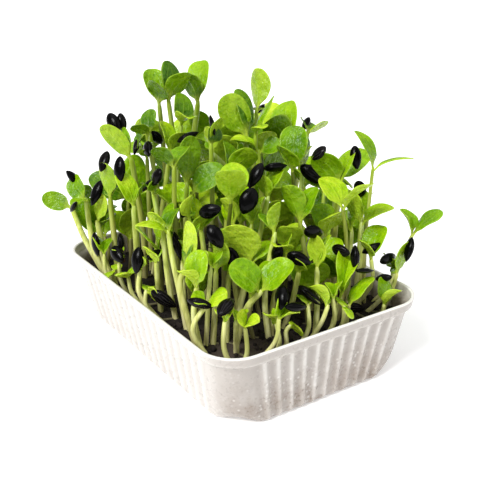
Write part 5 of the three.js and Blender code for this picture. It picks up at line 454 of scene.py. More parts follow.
    {"r": 0.908, "stem": [[2.86,5.21,24.3],[2.8,3.44,34.54],[2.48,3.64,43.51],[2.15,4.5,49.91]],
     "blades": [[3.68,-1.73,64.49,-0.219,0.889,0.403,9.8,0.064],[-0.28,10.15,64,0.362,-0.842,0.4,10.96,0.093]],
     "hulls": [], "tone": [0.269,0.449], "st": 0.21, "grow": 1.25},
    {"r": 0.908, "stem": [[-9.7,-5.85,24.3],[-7.95,-4.29,31.95],[-7.83,-3.86,38.64],[-8.33,-3.93,43.42]],
     "blades": [[-4.96,-2.1,54.74,-0.833,-0.451,0.32,10.36,0.092],[-11.78,-8.54,55.64,0.542,0.724,0.426,9.89,0.109]],
     "hulls": [], "tone": [0.571,0.585], "st": 0.208, "grow": 1.25},
    {"r": 0.908, "stem": [[-24.97,50.49,24.3],[-25.76,52.69,37.62],[-24.93,53.94,49.28],[-23.71,54.55,57.6]],
     "blades": [[-37.166,62.728,67.955,-0.062,-0.821,0.568,12.404,0.108],[-16.158,59.837,74.427,-0.171,-0.915,0.364,10.983,0.096]],
     "hulls": [], "tone": [0.339,0.571], "st": 0.327, "grow": 1.25, "wide": [1.08,1.2]},
    {"r": 0.908, "stem": [[-40.21,55.56,24.3],[-39.08,53.63,32.78],[-39.93,53.48,40.2],[-41.29,54.01,45.5]],
     "blades": [[-42.43,57.89,58.79,0.27,-0.918,0.291,9.07,0.113],[-36.75,46.1,52.88,-0.313,0.545,0.778,8.88,0.063]],
     "hulls": [], "tone": [0.571,0.368], "st": 0.194, "grow": 1.25},
]
# Node name, its sprouts and the pairs tied by a surface root.
CLUMPS = [
    ("sprout_clump_01", [0,1,103,131], [[0,1],[103,131],[0,131]]),
    ("sprout_clump_02", [6,96,112], [[6,96],[96,112]]),
    ("sprout_clump_03", [104,123], [[104,123]]),
    ("sprout_clump_04", [84,92,97,114], [[84,92],[97,114],[92,97]]),
    ("sprout_clump_05", [10,107], [[10,107]]),
    ("sprout_clump_06", [101,106,117], [[106,117],[101,106]]),
    ("sprout_clump_07", [11,7,12], [[7,12],[11,12]]),
    ("sprout_clump_08", [80,130], [[80,130]]),
    ("sprout_clump_09", [2,5,78], [[5,78],[2,5]]),
    ("sprout_clump_10", [89,87,127], [[87,127],[89,127]]),
    ("sprout_clump_11", [4,8,14], [[8,14],[4,14]]),
    ("sprout_clump_12", [95,105], [[95,105]]),
    ("sprout_clump_13", [13,90,119], [[90,119],[13,90]]),
    ("sprout_clump_14", [3,69,73], [[69,73],[3,73]]),
    ("sprout_clump_15", [94,17,125], [[17,125],[94,125]]),
    ("sprout_clump_16", [16,18,110,111], [[16,18],[110,111],[18,110]]),
    ("sprout_clump_17", [22,20,26], [[20,26],[22,26]]),
    ("sprout_clump_18", [75,100], [[75,100]]),
    ("sprout_clump_19", [126,128], [[126,128]]),
    ("sprout_clump_20", [70,50,115], [[50,115],[70,115]]),
    ("sprout_clump_21", [19,21,24], [[19,21],[21,24]]),
    ("sprout_clump_22", [93,120], [[93,120]]),
    ("sprout_clump_23", [9,15,49,56], [[9,15],[49,56],[15,56]]),
    ("sprout_clump_24", [51,71,72], [[71,72],[51,71]]),
    ("sprout_clump_25", [83,23,99], [[23,99],[83,99]]),
    ("sprout_clump_26", [81,102,108], [[81,102],[81,108]]),
    ("sprout_clump_27", [124,129], [[124,129]]),
    ("sprout_clump_28", [48,74,122], [[48,74],[48,122]]),
    ("sprout_clump_29", [25,82], [[25,82]]),
    ("sprout_clump_30", [43,55,88], [[43,55],[55,88]]),
    ("sprout_clump_31", [44,113,86,98], [[44,113],[86,98],[44,86]]),
    ("sprout_clump_32", [28,116], [[28,116]]),
    ("sprout_clump_33", [54,121], [[54,121]]),
    ("sprout_clump_34", [29,27,85], [[27,85],[29,85]]),
    ("sprout_clump_35", [46,47,64], [[46,47],[47,64]]),
    ("sprout_clump_36", [52,79,42,57], [[52,79],[42,57],[52,57]]),
    ("sprout_clump_37", [30,31,32,33], [[30,31],[32,33],[31,32]]),
    ("sprout_clump_38", [45,58,41,109], [[45,58],[41,109],[45,109]]),
    ("sprout_clump_39", [59,118], [[59,118]]),
    ("sprout_clump_40", [34,91,39], [[34,91],[34,39]]),
    ("sprout_clump_41", [53,60,76], [[60,76],[53,76]]),
    ("sprout_clump_42", [35,36,40], [[35,36],[36,40]]),
    ("sprout_clump_43", [61,66,63,65], [[61,66],[63,65],[61,65]]),
    ("sprout_clump_44", [38,37,77], [[37,77],[38,77]]),
    ("sprout_clump_45", [62,67,68], [[62,67],[67,68]]),
]
# Hulls that have come loose from their seed leaf.
LOOSE_HULLS = [
    ("seed_hull_01", [-6.977,-56.737,49.929,-1.127,-64.077,43.049,-0.699,0.105,-0.707,6,3.9]),
    ("seed_hull_02", [-40.238,48.076,71.369,-46.348,47.016,60.629,-0.83,-0.252,0.497,6,3.9]),
    ("seed_hull_03", [-14.428,22.594,91.257,-5.448,18.464,95.367,0.117,-0.562,-0.819,6,3.9]),
    ("seed_hull_04", [2.644,-19.045,86.61,11.144,-24.285,87.77,-0.228,-0.547,-0.805,6,3.9]),
    ("seed_hull_05", [17.792,-62.072,52.133,28.392,-61.462,49.203,-0.232,-0.34,-0.911,4.6,2.44]),
    ("seed_hull_06", [-0.124,-21.884,90.194,-6.704,-22.044,80.644,-0.795,-0.25,0.552,6,3.9]),
    ("seed_hull_07", [-22.043,-67.731,49.343,-11.853,-68.251,46.703,-0.251,-0.368,-0.895,4.6,3.78]),
    ("seed_hull_08", [-28.785,-18.467,72.769,-23.195,-26.267,76.529,-0.84,-0.506,0.196,6.03,3.9]),
    ("seed_hull_09", [22.882,-18.489,84.463,29.102,-26.289,77.143,-0.598,-0.747,0.289,6.07,3.9]),
    ("seed_hull_10", [-35.877,45.7,102.359,-34.937,37.63,95.289,-0.797,-0.447,0.406,6,3.9]),
    ("seed_hull_11", [-39.025,-56.952,52.998,-47.305,-61.432,50.198,-0.323,0.004,0.946,6,3.9]),
    ("seed_hull_12", [-8.826,-28.439,82.806,-14.716,-29.169,73.046,-0.517,-0.772,0.37,7.6,3.9]),
    ("seed_hull_13", [-32.147,-31.316,72.83,-29.837,-36.976,64.46,-0.504,-0.774,0.384,6.27,3.9]),
]


def unit(v):
    return v / max(np.linalg.norm(v), 1e-9)


def smooth(a, b, x):
    t = np.clip((x - a) / (b - a), 0.0, 1.0)
    return t * t * (3 - 2 * t)


# ---------------------------------------------------------------- mesh collecting
class Build:
    """Collects closed shells with their place on the leaf and two numbers per point."""

    def __init__(self):
        self.v, self.f, self.m, self.uv, self.tone, self.under = [], [], [], [], [], []
        self.n = 0

    def add(self, verts, faces, mat, uv, tone, under):
        k = self.n
        self.v.append(np.asarray(verts, float))
        self.f.extend([tuple(i + k for i in q) for q in faces])
        self.m.extend([mat] * len(faces))
        self.uv.append(np.asarray(uv, float))
        n = len(verts)
        self.tone.append(np.broadcast_to(np.asarray(tone, float), (n,)).copy())
        self.under.append(np.broadcast_to(np.asarray(under, float), (n,)).copy())
        self.n += n

    def object(self, name, materials):
        v = np.vstack(self.v) * MM
        me = bpy.data.meshes.new(name)
        me.from_pydata([tuple(p) for p in v], [], self.f)
        for mat in materials:
            me.materials.append(mat)
        me.polygons.foreach_set("material_index", self.m)
        uv = np.vstack(self.uv)
        for key, data in (("across", uv[:, 0]), ("along", uv[:, 1]), ("tone", np.concatenate(self.tone)), ("under", np.concatenate(self.under))):
            at = me.attributes.new(key, "FLOAT", "POINT")
            at.data.foreach_set("value", np.ascontiguousarray(data, dtype=np.float32))
        me.polygons.foreach_set("use_smooth", [True] * len(me.polygons))
        me.update()
        ob = bpy.data.objects.new(name, me)
        bpy.context.scene.collection.objects.link(ob)
        return ob


def loft(rings, close_start=True, close_end=True):
    """Faces of a tube through equal rings, with its ends closed by fans."""
    m = len(rings[0])
    verts = [p for r in rings for p in r]
    faces = []
    for i in range(len(rings) - 1):
        for j in range(m):
            a, b = i * m + j, i * m + (j + 1) % m
            faces.append((a, b, b + m, a + m))
    if close_start:
        verts.append(np.mean(rings[0], axis=0))
        c = len(verts) - 1
        for j in range(m):
            faces.append((c, (j + 1) % m, j))
    if close_end:
        verts.append(np.mean(rings[-1], axis=0))
        c = len(verts) - 1
        o = (len(rings) - 1) * m
        for j in range(m):
            faces.append((c, o + j, o + (j + 1) % m))
    return np.array(verts), faces


def spline(points, n):
    """Points and directions along a smooth curve through the given points."""
    P = [np.array(p, float) for p in points]
    Q = [2 * P[0] - P[1]] + P + [2 * P[-1] - P[-2]]
    out = []
    for i in range(n + 1):
        t = i / n * (len(P) - 1)
        k = min(int(t), len(P) - 2)
        f = t - k
        a, b, c, d = Q[k : k + 4]
        out.append(0.5 * (2 * b + (c - a) * f + (2 * a - 5 * b + 4 * c - d) * f * f + (3 * b - a - 3 * c + d) * f**3))
    out = np.array(out)
    return out, np.array([unit(g) for g in np.gradient(out, axis=0)])


# ---------------------------------------------------------------- plant pieces
LEAF, STEM, HULL = 0, 1, 2


def add_tube(b, points, radius, mat, tone, n=18, sides=10, v0=0.0, v1=1.0):
    c, d = spline(points, n)
    ref = np.array([1.0, 0.0, 0.0])
    rings, uv = [], []
    for i in range(n + 1):
        s = unit(ref - d[i] * (ref @ d[i]))
        ref = s
        w = np.cross(d[i], s)
        t = i / n
        r = radius(t)
        for_ring = []
        for j in range(sides):
            a = 2 * math.pi * j / sides
            k = 1 + 0.035 * math.sin(3 * a + 9 * t)
            for_ring.append(c[i] + r * k * (math.cos(a) * s + math.sin(a) * w))
            uv.append((j / sides, v0 + (v1 - v0) * t))
        rings.append(np.array(for_ring))
    verts, faces = loft(rings)
    uv += [(0.5, v0), (0.5, v1)]
    b.add(verts, faces, mat, uv, tone, 0.0)


def blade_width(t, foot, end):
    """Share of the full width at a place along the leaf, 1 where it is widest."""
    u = min(max((t - 0.03) / 0.97, 0.0), 1.0)
    k = foot / (foot + end)
    return (u**foot) * ((1 - u) ** end) / (k**foot * (1 - k) ** end)


def add_blade(b, fork, up, r, tip, normal, width, bow, tone, rng, grow, wide):
    """A seed leaf: a fleshy spoon on a short flat stalk that leaves the stem's top."""
    fork, tip = np.array(fork, float), np.array(tip, float)
    tip = fork + (tip - fork) * (1 + 0.5 * (grow - 1))
    axis = tip - fork
    length = np.linalg.norm(axis)
    axis = axis / length
    n = unit(np.array(normal) - axis * (np.array(normal) @ axis))
    side = np.cross(axis, n)
    half = 6
    ts = np.concatenate([np.linspace(0.0, 0.66, 14), 0.66 + 0.34 * np.sin(np.linspace(0, math.pi / 2, 10))[1:]])
    width = width * wide
    foot, end = rng.uniform(0.50, 0.74), rng.uniform(0.40, 0.56)
    cup = rng.uniform(-0.16, 0.40)
    droop = rng.uniform(-0.05, 0.11)
    twist = rng.uniform(-0.30, 0.30)
    wave = rng.uniform(0.02, 0.10)
    phase = rng.uniform(0, 6.28)
    skew = rng.uniform(-0.04, 0.04)
    thick = rng.uniform(0.85, 1.05)
    sink = up * min(1.6, 0.12 * length)
    ss = np.sin(np.linspace(-math.pi / 2, math.pi / 2, 2 * half + 1))
    rings, uv, under = [], [], []
    for t in ts[:-1]:
        body = float(smooth(0.04, 0.26, t))
        stalk = 1.0 - float(smooth(0.0, 0.30, t))
        w = max(0.5 * width * blade_width(t, foot, end) * body, r * (0.62 + 0.25 * t))
        if t > 0.4:
            w = 0.5 * width * blade_width(t, foot, end)
        c = fork - sink * stalk**2 + axis * length * t + n * length * (bow * 4 * t * (1 - t) - droop * t**3) + side * skew * length * math.sin(math.pi * t)
        a = twist * (t - 0.35) * body
        s1 = side * math.cos(a) + n * math.sin(a)
        n1 = n * math.cos(a) - side * math.sin(a)
        th = (thick * (1 - 0.40 * float(smooth(0.7, 1.0, t)))) * body + (1 - body) * r * 1.15
        top, bot = [], []
        for s in ss:
            lift = cup * w * s * s * body + wave * w * math.sin(8 * t + phase + (2.2 if s > 0 else 0)) * abs(s) ** 3 * body
            groove = -0.20 * math.exp(-((s / 0.14) ** 2)) * body * (1 - t)
            rib = 0.32 * math.exp(-((s / 0.17) ** 2)) * body * (1 - t)
            h = 0.5 * th * math.sqrt(max(0.0, 1 - s * s * 0.96))
            edge = abs(s) > 0.999
            top.append(c + s1 * w * s + n1 * (lift + (0 if edge else h + groove)))
            bot.append(c + s1 * w * s + n1 * (lift - (0 if edge else h + rib)))
        rings.append(np.array(top + bot[1:-1][::-1]))
        uv += [(0.5 + 0.5 * s, t) for s in ss] + [(0.5 + 0.5 * s, t) for s in ss[1:-1][::-1]]
        under += [0.0] * len(ss) + [1.0] * (len(ss) - 2)
    verts, faces = loft(rings)
    uv += [(0.5, 0.0), (0.5, 1.0)]
    under += [0.0, 0.0]
    verts[-1] = tip - n * length * droop
    b.add(verts, [q[::-1] for q in faces], LEAF, uv, tone, under)


def add_hull(b, row, rng, gape=None, tone=None):
    p0, p1, n = np.array(row[0:3]), np.array(row[3:6]), np.array(row[6:9])
    width, thick = row[9], row[10]
    axis = p1 - p0
    length = np.linalg.norm(axis)
    axis = axis / length
    n = unit(n - axis * (n @ axis))
    side = np.cross(axis, n)
    if gape is None:
        gape = rng.choice([0.0, 0.02, 0.05], p=[0.5, 0.3, 0.2]) if width > 5 and p0[2] < 55 else 0.0
    if tone is None:
        tone = rng.uniform(0.0, 1.0)
    seam = 0.06 if gape > 0.01 else -0.06  # a shut hull has no slit between its halves
    steps, half = 15, 9
    vs = 0.5 - 0.5 * np.cos(np.linspace(0, math.pi, steps + 1))
    for sign in (1, -1):
        ang = sign * gape
        ax = axis * math.cos(ang) + n * math.sin(ang)
        nn = (n * math.cos(ang) - axis * math.sin(ang)) * sign
        rings, uv, under = [], [], []
        for v in vs[1:-1]:
            sw = math.sin(math.pi * v**0.86) ** 0.62
            w = 0.5 * width * sw
            h = 0.5 * thick * (math.sin(math.pi * v**0.88) ** 0.7)
            c = p0 + ax * length * v + nn * seam
            ph = np.linspace(0, math.pi, half + 1)
            out = []
            for p in ph:
                ripple = 1 + 0.022 * math.cos(10 * p + 1.3) * math.sin(p)
                out.append(c + side * w * math.cos(p) + nn * h * math.sin(p) * ripple)
            inn = []
            for p in ph[1:-1][::-1]:
                inn.append(c + side * 0.86 * w * math.cos(p) + nn * h * 0.62 * math.sin(p))
            rings.append(np.array(out + inn))
            uv += [(p / math.pi, v) for p in ph] + [(p / math.pi, v) for p in ph[1:-1][::-1]]
            under += [0.0] * (half + 1) + [1.0] * (half - 1)
        verts, faces = loft(rings)
        verts[-2] = p0 + ax * length * 0.002 + nn * seam
        verts[-1] = p0 + ax * length * 0.998 + nn * seam
        uv += [(0.5, 0.0), (0.5, 1.0)]
        under += [0.0, 0.0]
        if sign > 0:
            faces = [q[::-1] for q in faces]
        b.add(verts, faces, HULL, uv, tone, under)


# ---------------------------------------------------------------- materials
def lin(r, g, b):
    f = lambda c: (c / 255 / 12.92) if c / 255 <= 0.04045 else ((c / 255 + 0.055) / 1.055) ** 2.4
    return (f(r), f(g), f(b), 1.0)


class Mat:
    def __init__(self, name):
        self.mat = bpy.data.materials.new(name)
        self.mat.use_nodes = True
        self.t = self.mat.node_tree
        self.bsdf = self.t.nodes["Principled BSDF"]

    def node(self, kind, **props):
        n = self.t.nodes.new(kind)
        for k, v in props.items():
            setattr(n, k, v)
        return n

    def link(self, a, b):
        self.t.links.new(a, b)

    def math(self, op, a, b=None, clamp=False):
        n = self.node("ShaderNodeMath", operation=op, use_clamp=clamp)
        for i, x in enumerate((a, b)):
            if x is None:
                continue
            if isinstance(x, (int, float)):
                n.inputs[i].default_value = x
            else:
                self.link(x, n.inputs[i])
        return n.outputs[0]

    def ramp(self, fac, stops, mode="LINEAR"):
        n = self.node("ShaderNodeValToRGB")
        n.color_ramp.interpolation = mode
        e = n.color_ramp.elements
        while len(e) < len(stops):
            e.new(0.5)
        for el, (p, c) in zip(e, stops):
            el.position = p
            el.color = c if len(c) == 4 else (*c, 1)
        self.link(fac, n.inputs[0])
        return n.outputs[0]

    def mix(self, fac, a, b, blend="MIX"):
        n = self.node("ShaderNodeMix", data_type="RGBA", blend_type=blend)
        for sock, x in ((n.inputs[0], fac), (n.inputs[6], a), (n.inputs[7], b)):
            if isinstance(x, (int, float)):
                sock.default_value = x
            elif isinstance(x, tuple):
                sock.default_value = x
            else:
                self.link(x, sock)
        return n.outputs[2]

    def attr(self, name):
        return self.node("ShaderNodeAttribute", attribute_name=name).outputs["Fac"]

    def noise(self, scale, detail=3.0, vec=None, rough=0.5, distortion=0.0):
        n = self.node("ShaderNodeTexNoise")
        n.inputs["Scale"].default_value = scale
        n.inputs["Detail"].default_value = detail
        n.inputs["Roughness"].default_value = rough
        n.inputs["Distortion"].default_value = distortion
        if vec is None:
            vec = self.node("ShaderNodeTexCoord").outputs["Object"]
        self.link(vec, n.inputs["Vector"])
        return n.outputs["Fac"]

    def uv(self):
        return self.attr("across"), self.attr("along")

    def bump(self, height, strength, distance):
        n = self.node("ShaderNodeBump")
        n.inputs["Strength"].default_value = strength
        n.inputs["Distance"].default_value = distance
        self.link(height, n.inputs["Height"])
        self.link(n.outputs[0], self.bsdf.inputs["Normal"])

    def set(self, **k):
        for name, v in k.items():
            self.bsdf.inputs[name.replace("_", " ")].default_value = v


def leaf_material():
    m = Mat("seed_leaf")
    u, v = m.uv()
    # tone: the leaf's own shade of green together with painted light and shade
    tone = m.attr("tone")
    under = m.attr("under")
    cloud = m.math("MULTIPLY", m.math("SUBTRACT", m.noise(150, 3), 0.5), 0.46)
    grain = m.math("MULTIPLY", m.math("SUBTRACT", m.noise(620, 3, rough=0.6), 0.5), 0.34)
    along = m.math("MULTIPLY", m.math("SUBTRACT", v, 0.5), 0.16)
    fac = m.math("ADD", m.math("ADD", m.math("ADD", tone, cloud), grain), along, clamp=True)
    top = m.ramp(fac, [(0.0, lin(26, 60, 0)), (0.28, lin(66, 110, 0)), (0.55, lin(112, 156, 2)), (0.8, lin(152, 190, 10)), (1.0, lin(192, 214, 48))])
    low = m.ramp(fac, [(0.0, lin(46, 86, 0)), (0.5, lin(116, 156, 8)), (1.0, lin(186, 210, 56))])
    off = m.math("ABSOLUTE", m.math("SUBTRACT", u, 0.5))
    rib = m.math("SUBTRACT", 1.0, m.math("MULTIPLY", off, 24.0), clamp=True)
    rib = m.math("MULTIPLY", rib, m.math("SUBTRACT", 1.0, v, clamp=True))
    # two side veins that run from the foot and close towards the tip
    vein_at = m.math("MULTIPLY", m.math("MULTIPLY", v, m.math("SUBTRACT", 1.0, v)), 0.95)
    vein = m.math("SUBTRACT", 1.0, m.math("MULTIPLY", m.math("ABSOLUTE", m.math("SUBTRACT", off, vein_at)), 38.0), clamp=True)
    lines = m.math("MAXIMUM", rib, m.math("MULTIPLY", vein, 0.34))
    base = m.mix(under, top, low)
    base = m.mix(m.math("MULTIPLY", lines, 0.34), base, lin(186, 210, 70))
    edge = m.math("MULTIPLY", m.math("SUBTRACT", off, 0.43), 8.0, clamp=True)
    base = m.mix(m.math("MULTIPLY", edge, 0.58), base, lin(196, 218, 74))
    foot = m.ramp(v, [(0.02, (1, 1, 1)), (0.28, (0, 0, 0))])
    base = m.mix(m.math("MULTIPLY", foot, 0.8), base, lin(190, 206, 70))
    m.link(base, m.bsdf.inputs["Base Color"])
    gloss = m.noise(380, 4)
    m.link(m.ramp(gloss, [(0.3, (0.15, 0.15, 0.15)), (0.75, (0.36, 0.36, 0.36))]), m.bsdf.inputs["Roughness"])
    m.set(Specular_IOR_Level=0.28, IOR=1.45)
    m.set(Subsurface_Weight=0.22, Subsurface_Scale=0.0012)
    m.bsdf.inputs["Subsurface Radius"].default_value = (0.7, 1.0, 0.12)
    fine = m.noise(1500, 3)
    swell = m.noise(300, 2)
    m.bump(m.math("ADD", m.math("ADD", m.math("MULTIPLY", fine, 0.25), m.math("MULTIPLY", lines, -0.35)), m.math("MULTIPLY", swell, 1.6)), 0.8, 0.0010)
    return m.mat


def stem_material():
    m = Mat("stem")
    u, v = m.uv()
    tone = m.attr("tone")
    coord = m.node("ShaderNodeTexCoord").outputs["Object"]
    mp = m.node("ShaderNodeMapping")
    mp.inputs["Scale"].default_value = (1, 1, 0.07)
    m.link(coord, mp.inputs["Vector"])
    streak = m.noise(700, 4, mp.outputs[0])
    cloud = m.noise(90, 3, coord)
    h = m.math("ADD", v, m.math("MULTIPLY", m.math("SUBTRACT", cloud, 0.5), 0.4), clamp=True)
    body = m.ramp(h, [(0.0, lin(226, 216, 172)), (0.2, lin(224, 223, 150)), (0.55, lin(204, 215, 106)), (0.85, lin(182, 204, 70)), (1.0, lin(168, 198, 50))])
    # tone: painted shade on stems deep in the stand, painted light on stems at the front, and at 0 the dark brown of
    # the surface roots
    shade = m.ramp(tone, [(0.0, lin(58, 52, 34)), (0.3, lin(186, 184, 140)), (0.6, lin(226, 228, 196)), (1.0, lin(255, 255, 246))])
    base = m.mix(0.85, body, shade, "MULTIPLY")
    # darker lengthwise streaks that stand for the grooves between the stem's ridges: painted shade
    groove_shade = m.ramp(streak, [(0.34, (1, 1, 1)), (0.52, (0, 0, 0))])
    base = m.mix(m.math("MULTIPLY", groove_shade, 0.42), base, m.mix(0.8, base, lin(120, 132, 60), "MULTIPLY"))
    # pale lengthwise streaks, strongest on stems painted lighter: painted highlight
    base = m.mix(m.math("MULTIPLY", m.math("MULTIPLY", m.math("SUBTRACT", streak, 0.48), 1.6, clamp=True), tone), base, lin(238, 240, 206))
    m.link(base, m.bsdf.inputs["Base Color"])
    m.link(m.ramp(streak, [(0.3, (0.36, 0.36, 0.36)), (0.7, (0.55, 0.55, 0.55))]), m.bsdf.inputs["Roughness"])
    m.set(IOR=1.4, Specular_IOR_Level=0.4)
    m.bump(streak, 0.3, 0.00025)
    return m.mat


def hull_material():
    m = Mat("seed_hull")
    u, v = m.uv()
    tone = m.attr("tone")
    under = m.attr("under")
    wob = m.noise(260, 3)
    stripe = m.math("SINE", m.math("ADD", m.math("MULTIPLY", u, 44.0), m.math("MULTIPLY", wob, 7.0)))
    stripe = m.math("MULTIPLY", m.math("SUBTRACT", stripe, 0.35), 1.6, clamp=True)
    patch = m.ramp(m.noise(120, 2), [(0.46, (0, 0, 0)), (0.72, (1, 1, 1))])
    stripe = m.math("MULTIPLY", m.math("MULTIPLY", stripe, patch), m.math("MULTIPLY", tone, 0.34))
    dark = m.ramp(tone, [(0.0, lin(2, 2, 2)), (0.6, lin(3, 3, 3)), (1.0, lin(9, 7, 6))])
    base = m.mix(stripe, dark, lin(84, 80, 84))
    base = m.mix(under, base, m.ramp(wob, [(0.3, lin(40, 24, 14)), (0.7, lin(80, 54, 32))]))
    m.link(base, m.bsdf.inputs["Base Color"])
    m.link(m.ramp(wob, [(0.3, (0.12, 0.12, 0.12)), (0.7, (0.26, 0.26, 0.26))]), m.bsdf.inputs["Roughness"])
    m.set(Specular_IOR_Level=0.10)
    m.bump(m.math("ADD", stripe, m.math("MULTIPLY", m.noise(1600, 4), 0.6)), 0.45, 0.00025)
    return m.mat


def soil_material():
    m = Mat("potting_soil")
    tone = m.attr("tone")
    big = m.noise(160, 4)
    fine = m.noise(1400, 6, rough=0.65)
    fac = m.math("ADD", m.math("MULTIPLY", big, 0.45), m.math("MULTIPLY", fine, 0.55))
    base = m.ramp(fac, [(0.25, lin(7, 5, 5)), (0.5, lin(26, 21, 19)), (0.68, lin(46, 38, 33)), (0.85, lin(80, 68, 58))])
    # tone: painted light on the soil towards the near corner, and lighter crumbs at random
    base = m.mix(m.math("MULTIPLY", tone, 0.62), base, lin(104, 90, 79))
    m.link(base, m.bsdf.inputs["Base Color"])
    m.link(m.ramp(fine, [(0.3, (0.7, 0.7, 0.7)), (0.7, (1, 1, 1))]), m.bsdf.inputs["Roughness"])
    m.set(Specular_IOR_Level=0.25)
    m.bump(fac, 0.9, 0.0012)
    return m.mat


def tray_material():
    m = Mat("milky_plastic")
    coord = m.node("ShaderNodeTexCoord").outputs["Object"]
    s = m.node("ShaderNodeSeparateXYZ")
    m.link(coord, s.inputs[0])
    # painted light and shade: rib ridges lighter than their valleys, the long side towards the light lighter, and a
    # painted highlight along the rim's top edge
    tone = m.attr("tone")  # 1 on a rib's ridge, 0 in its valley
    state = m.attr("under")  # 1 where damp soil lies behind the sheet, up to 2 inside
    under = m.math("MINIMUM", state, 1.0)
    inner = m.math("SUBTRACT", state, 1.0, clamp=True)
    mott = m.noise(85, 6, coord, rough=0.62)
    spot = m.noise(420, 4, coord)
    plastic_with_painted_light = m.ramp(tone, [(0.0, lin(164, 157, 151)), (0.5, lin(186, 180, 174)), (1.0, lin(234, 231, 226))])
    dirt = m.ramp(mott, [(0.36, (0, 0, 0)), (0.58, (1, 1, 1))])
    low = m.ramp(s.outputs[2], [(0.001, (1, 1, 1)), (0.012, (0.62, 0.62, 0.62)), (0.027, (0.1, 0.1, 0.1))])
    fac = m.math("MULTIPLY", m.math("MULTIPLY", dirt, low), m.math("ADD", m.math("MULTIPLY", spot, 0.7), 0.3))
    fac = m.math("MULTIPLY", fac, m.math("MULTIPLY", under, 1.0), clamp=True)
    base = m.mix(fac, plastic_with_painted_light, lin(124, 105, 88))
    # crumbs of soil that show through the sheet
    crumb = m.ramp(m.noise(760, 4, coord, rough=0.6), [(0.54, (0, 0, 0)), (0.68, (1, 1, 1))])
    crumb = m.math("MULTIPLY", crumb, m.math("MULTIPLY", m.math("MULTIPLY", low, under), m.math("ADD", m.math("MULTIPLY", dirt, 0.55), 0.25)))
    base = m.mix(crumb, base, lin(98, 82, 66))
    haze = m.math("MULTIPLY", m.math("SUBTRACT", m.noise(30, 3, coord), 0.45), 0.8, clamp=True)
    base = m.mix(m.math("MULTIPLY", haze, under), base, lin(186, 177, 172))
    # the inner face darker and browner towards the soil
    inner_face_darkening = m.math("MULTIPLY", inner, m.ramp(mott, [(0.36, (0.35, 0.35, 0.35)), (0.58, (0.80, 0.80, 0.80))]))
    base = m.mix(inner_face_darkening, base, lin(78, 66, 44))
    # beads of condensation
    cells = m.node("ShaderNodeTexVoronoi")
    cells.inputs["Scale"].default_value = 460
    m.link(coord, cells.inputs["Vector"])
    bead = m.math("SUBTRACT", 1.0, m.math("MULTIPLY", cells.outputs["Distance"], 3.0), clamp=True)
    bead = m.math("MULTIPLY", bead, m.ramp(m.noise(130, 2, coord), [(0.46, (0, 0, 0)), (0.58, (1, 1, 1))]))
    bead = m.math("MULTIPLY", bead, m.math("SUBTRACT", under, inner, clamp=True))
    base = m.mix(m.math("MULTIPLY", bead, 0.5), base, lin(250, 249, 247))
    m.link(base, m.bsdf.inputs["Base Color"])
    m.link(m.ramp(spot, [(0.3, (0.24, 0.24, 0.24)), (0.75, (0.38, 0.38, 0.38))]), m.bsdf.inputs["Roughness"])
    m.set(Subsurface_Weight=0.2, Subsurface_Scale=0.003, IOR=1.5)
    m.bsdf.inputs["Subsurface Radius"].default_value = (1.0, 0.95, 0.9)
    m.bump(m.math("ADD", m.math("MULTIPLY", m.noise(900, 3, coord), 0.3), bead), 0.2, 0.0003)
    return m.mat


# ---------------------------------------------------------------- tray
def stations(per=10, corner=14):
    """Position on the plan: a side or corner, and the rib height there."""
    out = []
    sides = [((1, 0), (0, 1), RIBS_LONG), ((0, 1), (-1, 0), RIBS_SHORT), ((-1, 0), (0, -1), RIBS_LONG), ((0, -1), (1, 0), RIBS_SHORT)]
    for k, (n, t, ribs) in enumerate(sides):
        count = ribs * per
        for i in range(count + 1):
            f = i / count
            w = 0.5 - 0.5 * math.cos(2 * math.pi * f * ribs)
            out.append(("s", n, t, f * 2 - 1, w**1.5))
        for i in range(1, corner):
            out.append(("c", k, i / corner * 90, 0, 0.0))
    return out


def plan(st, z, offset):
    down = 1 - z / TRAY_HEIGHT
    hx = TRAY_HALF_X - WALL_TAPER_X * down - offset
    hy = TRAY_HALF_Y - WALL_TAPER_Y * down - offset
    r = max(CORNER_RADIUS - offset, 2.0)
    if st[0] == "s":
        _, n, t, f, _ = st
        reach = abs(n[0]) * hx + abs(n[1]) * hy
        half = abs(t[0]) * (hx - r) + abs(t[1]) * (hy - r)
        return n[0] * reach + t[0] * half * f, n[1] * reach + t[1] * half * f
    _, k, deg, _, _ = st
    a = math.radians(k * 90 + deg)
    sx, sy = ((1, 1), (-1, 1), (-1, -1), (1, -1))[k]
    return sx * (hx - r) + r * math.cos(a), sy * (hy - r) + r * math.sin(a)


def base_inset(st, h):
    """How far the rounding at the base draws a station in, larger in a corner."""
    corner = 0.0 if st[0] == "s" else abs(math.sin(math.radians(2 * st[2])))
    r = BASE_FILLET + (CORNER_FILLET - BASE_FILLET) * corner
    h = max(h, 0.0)
    return r - math.sqrt(r * r - (r - h) ** 2) if h < r else 0.0


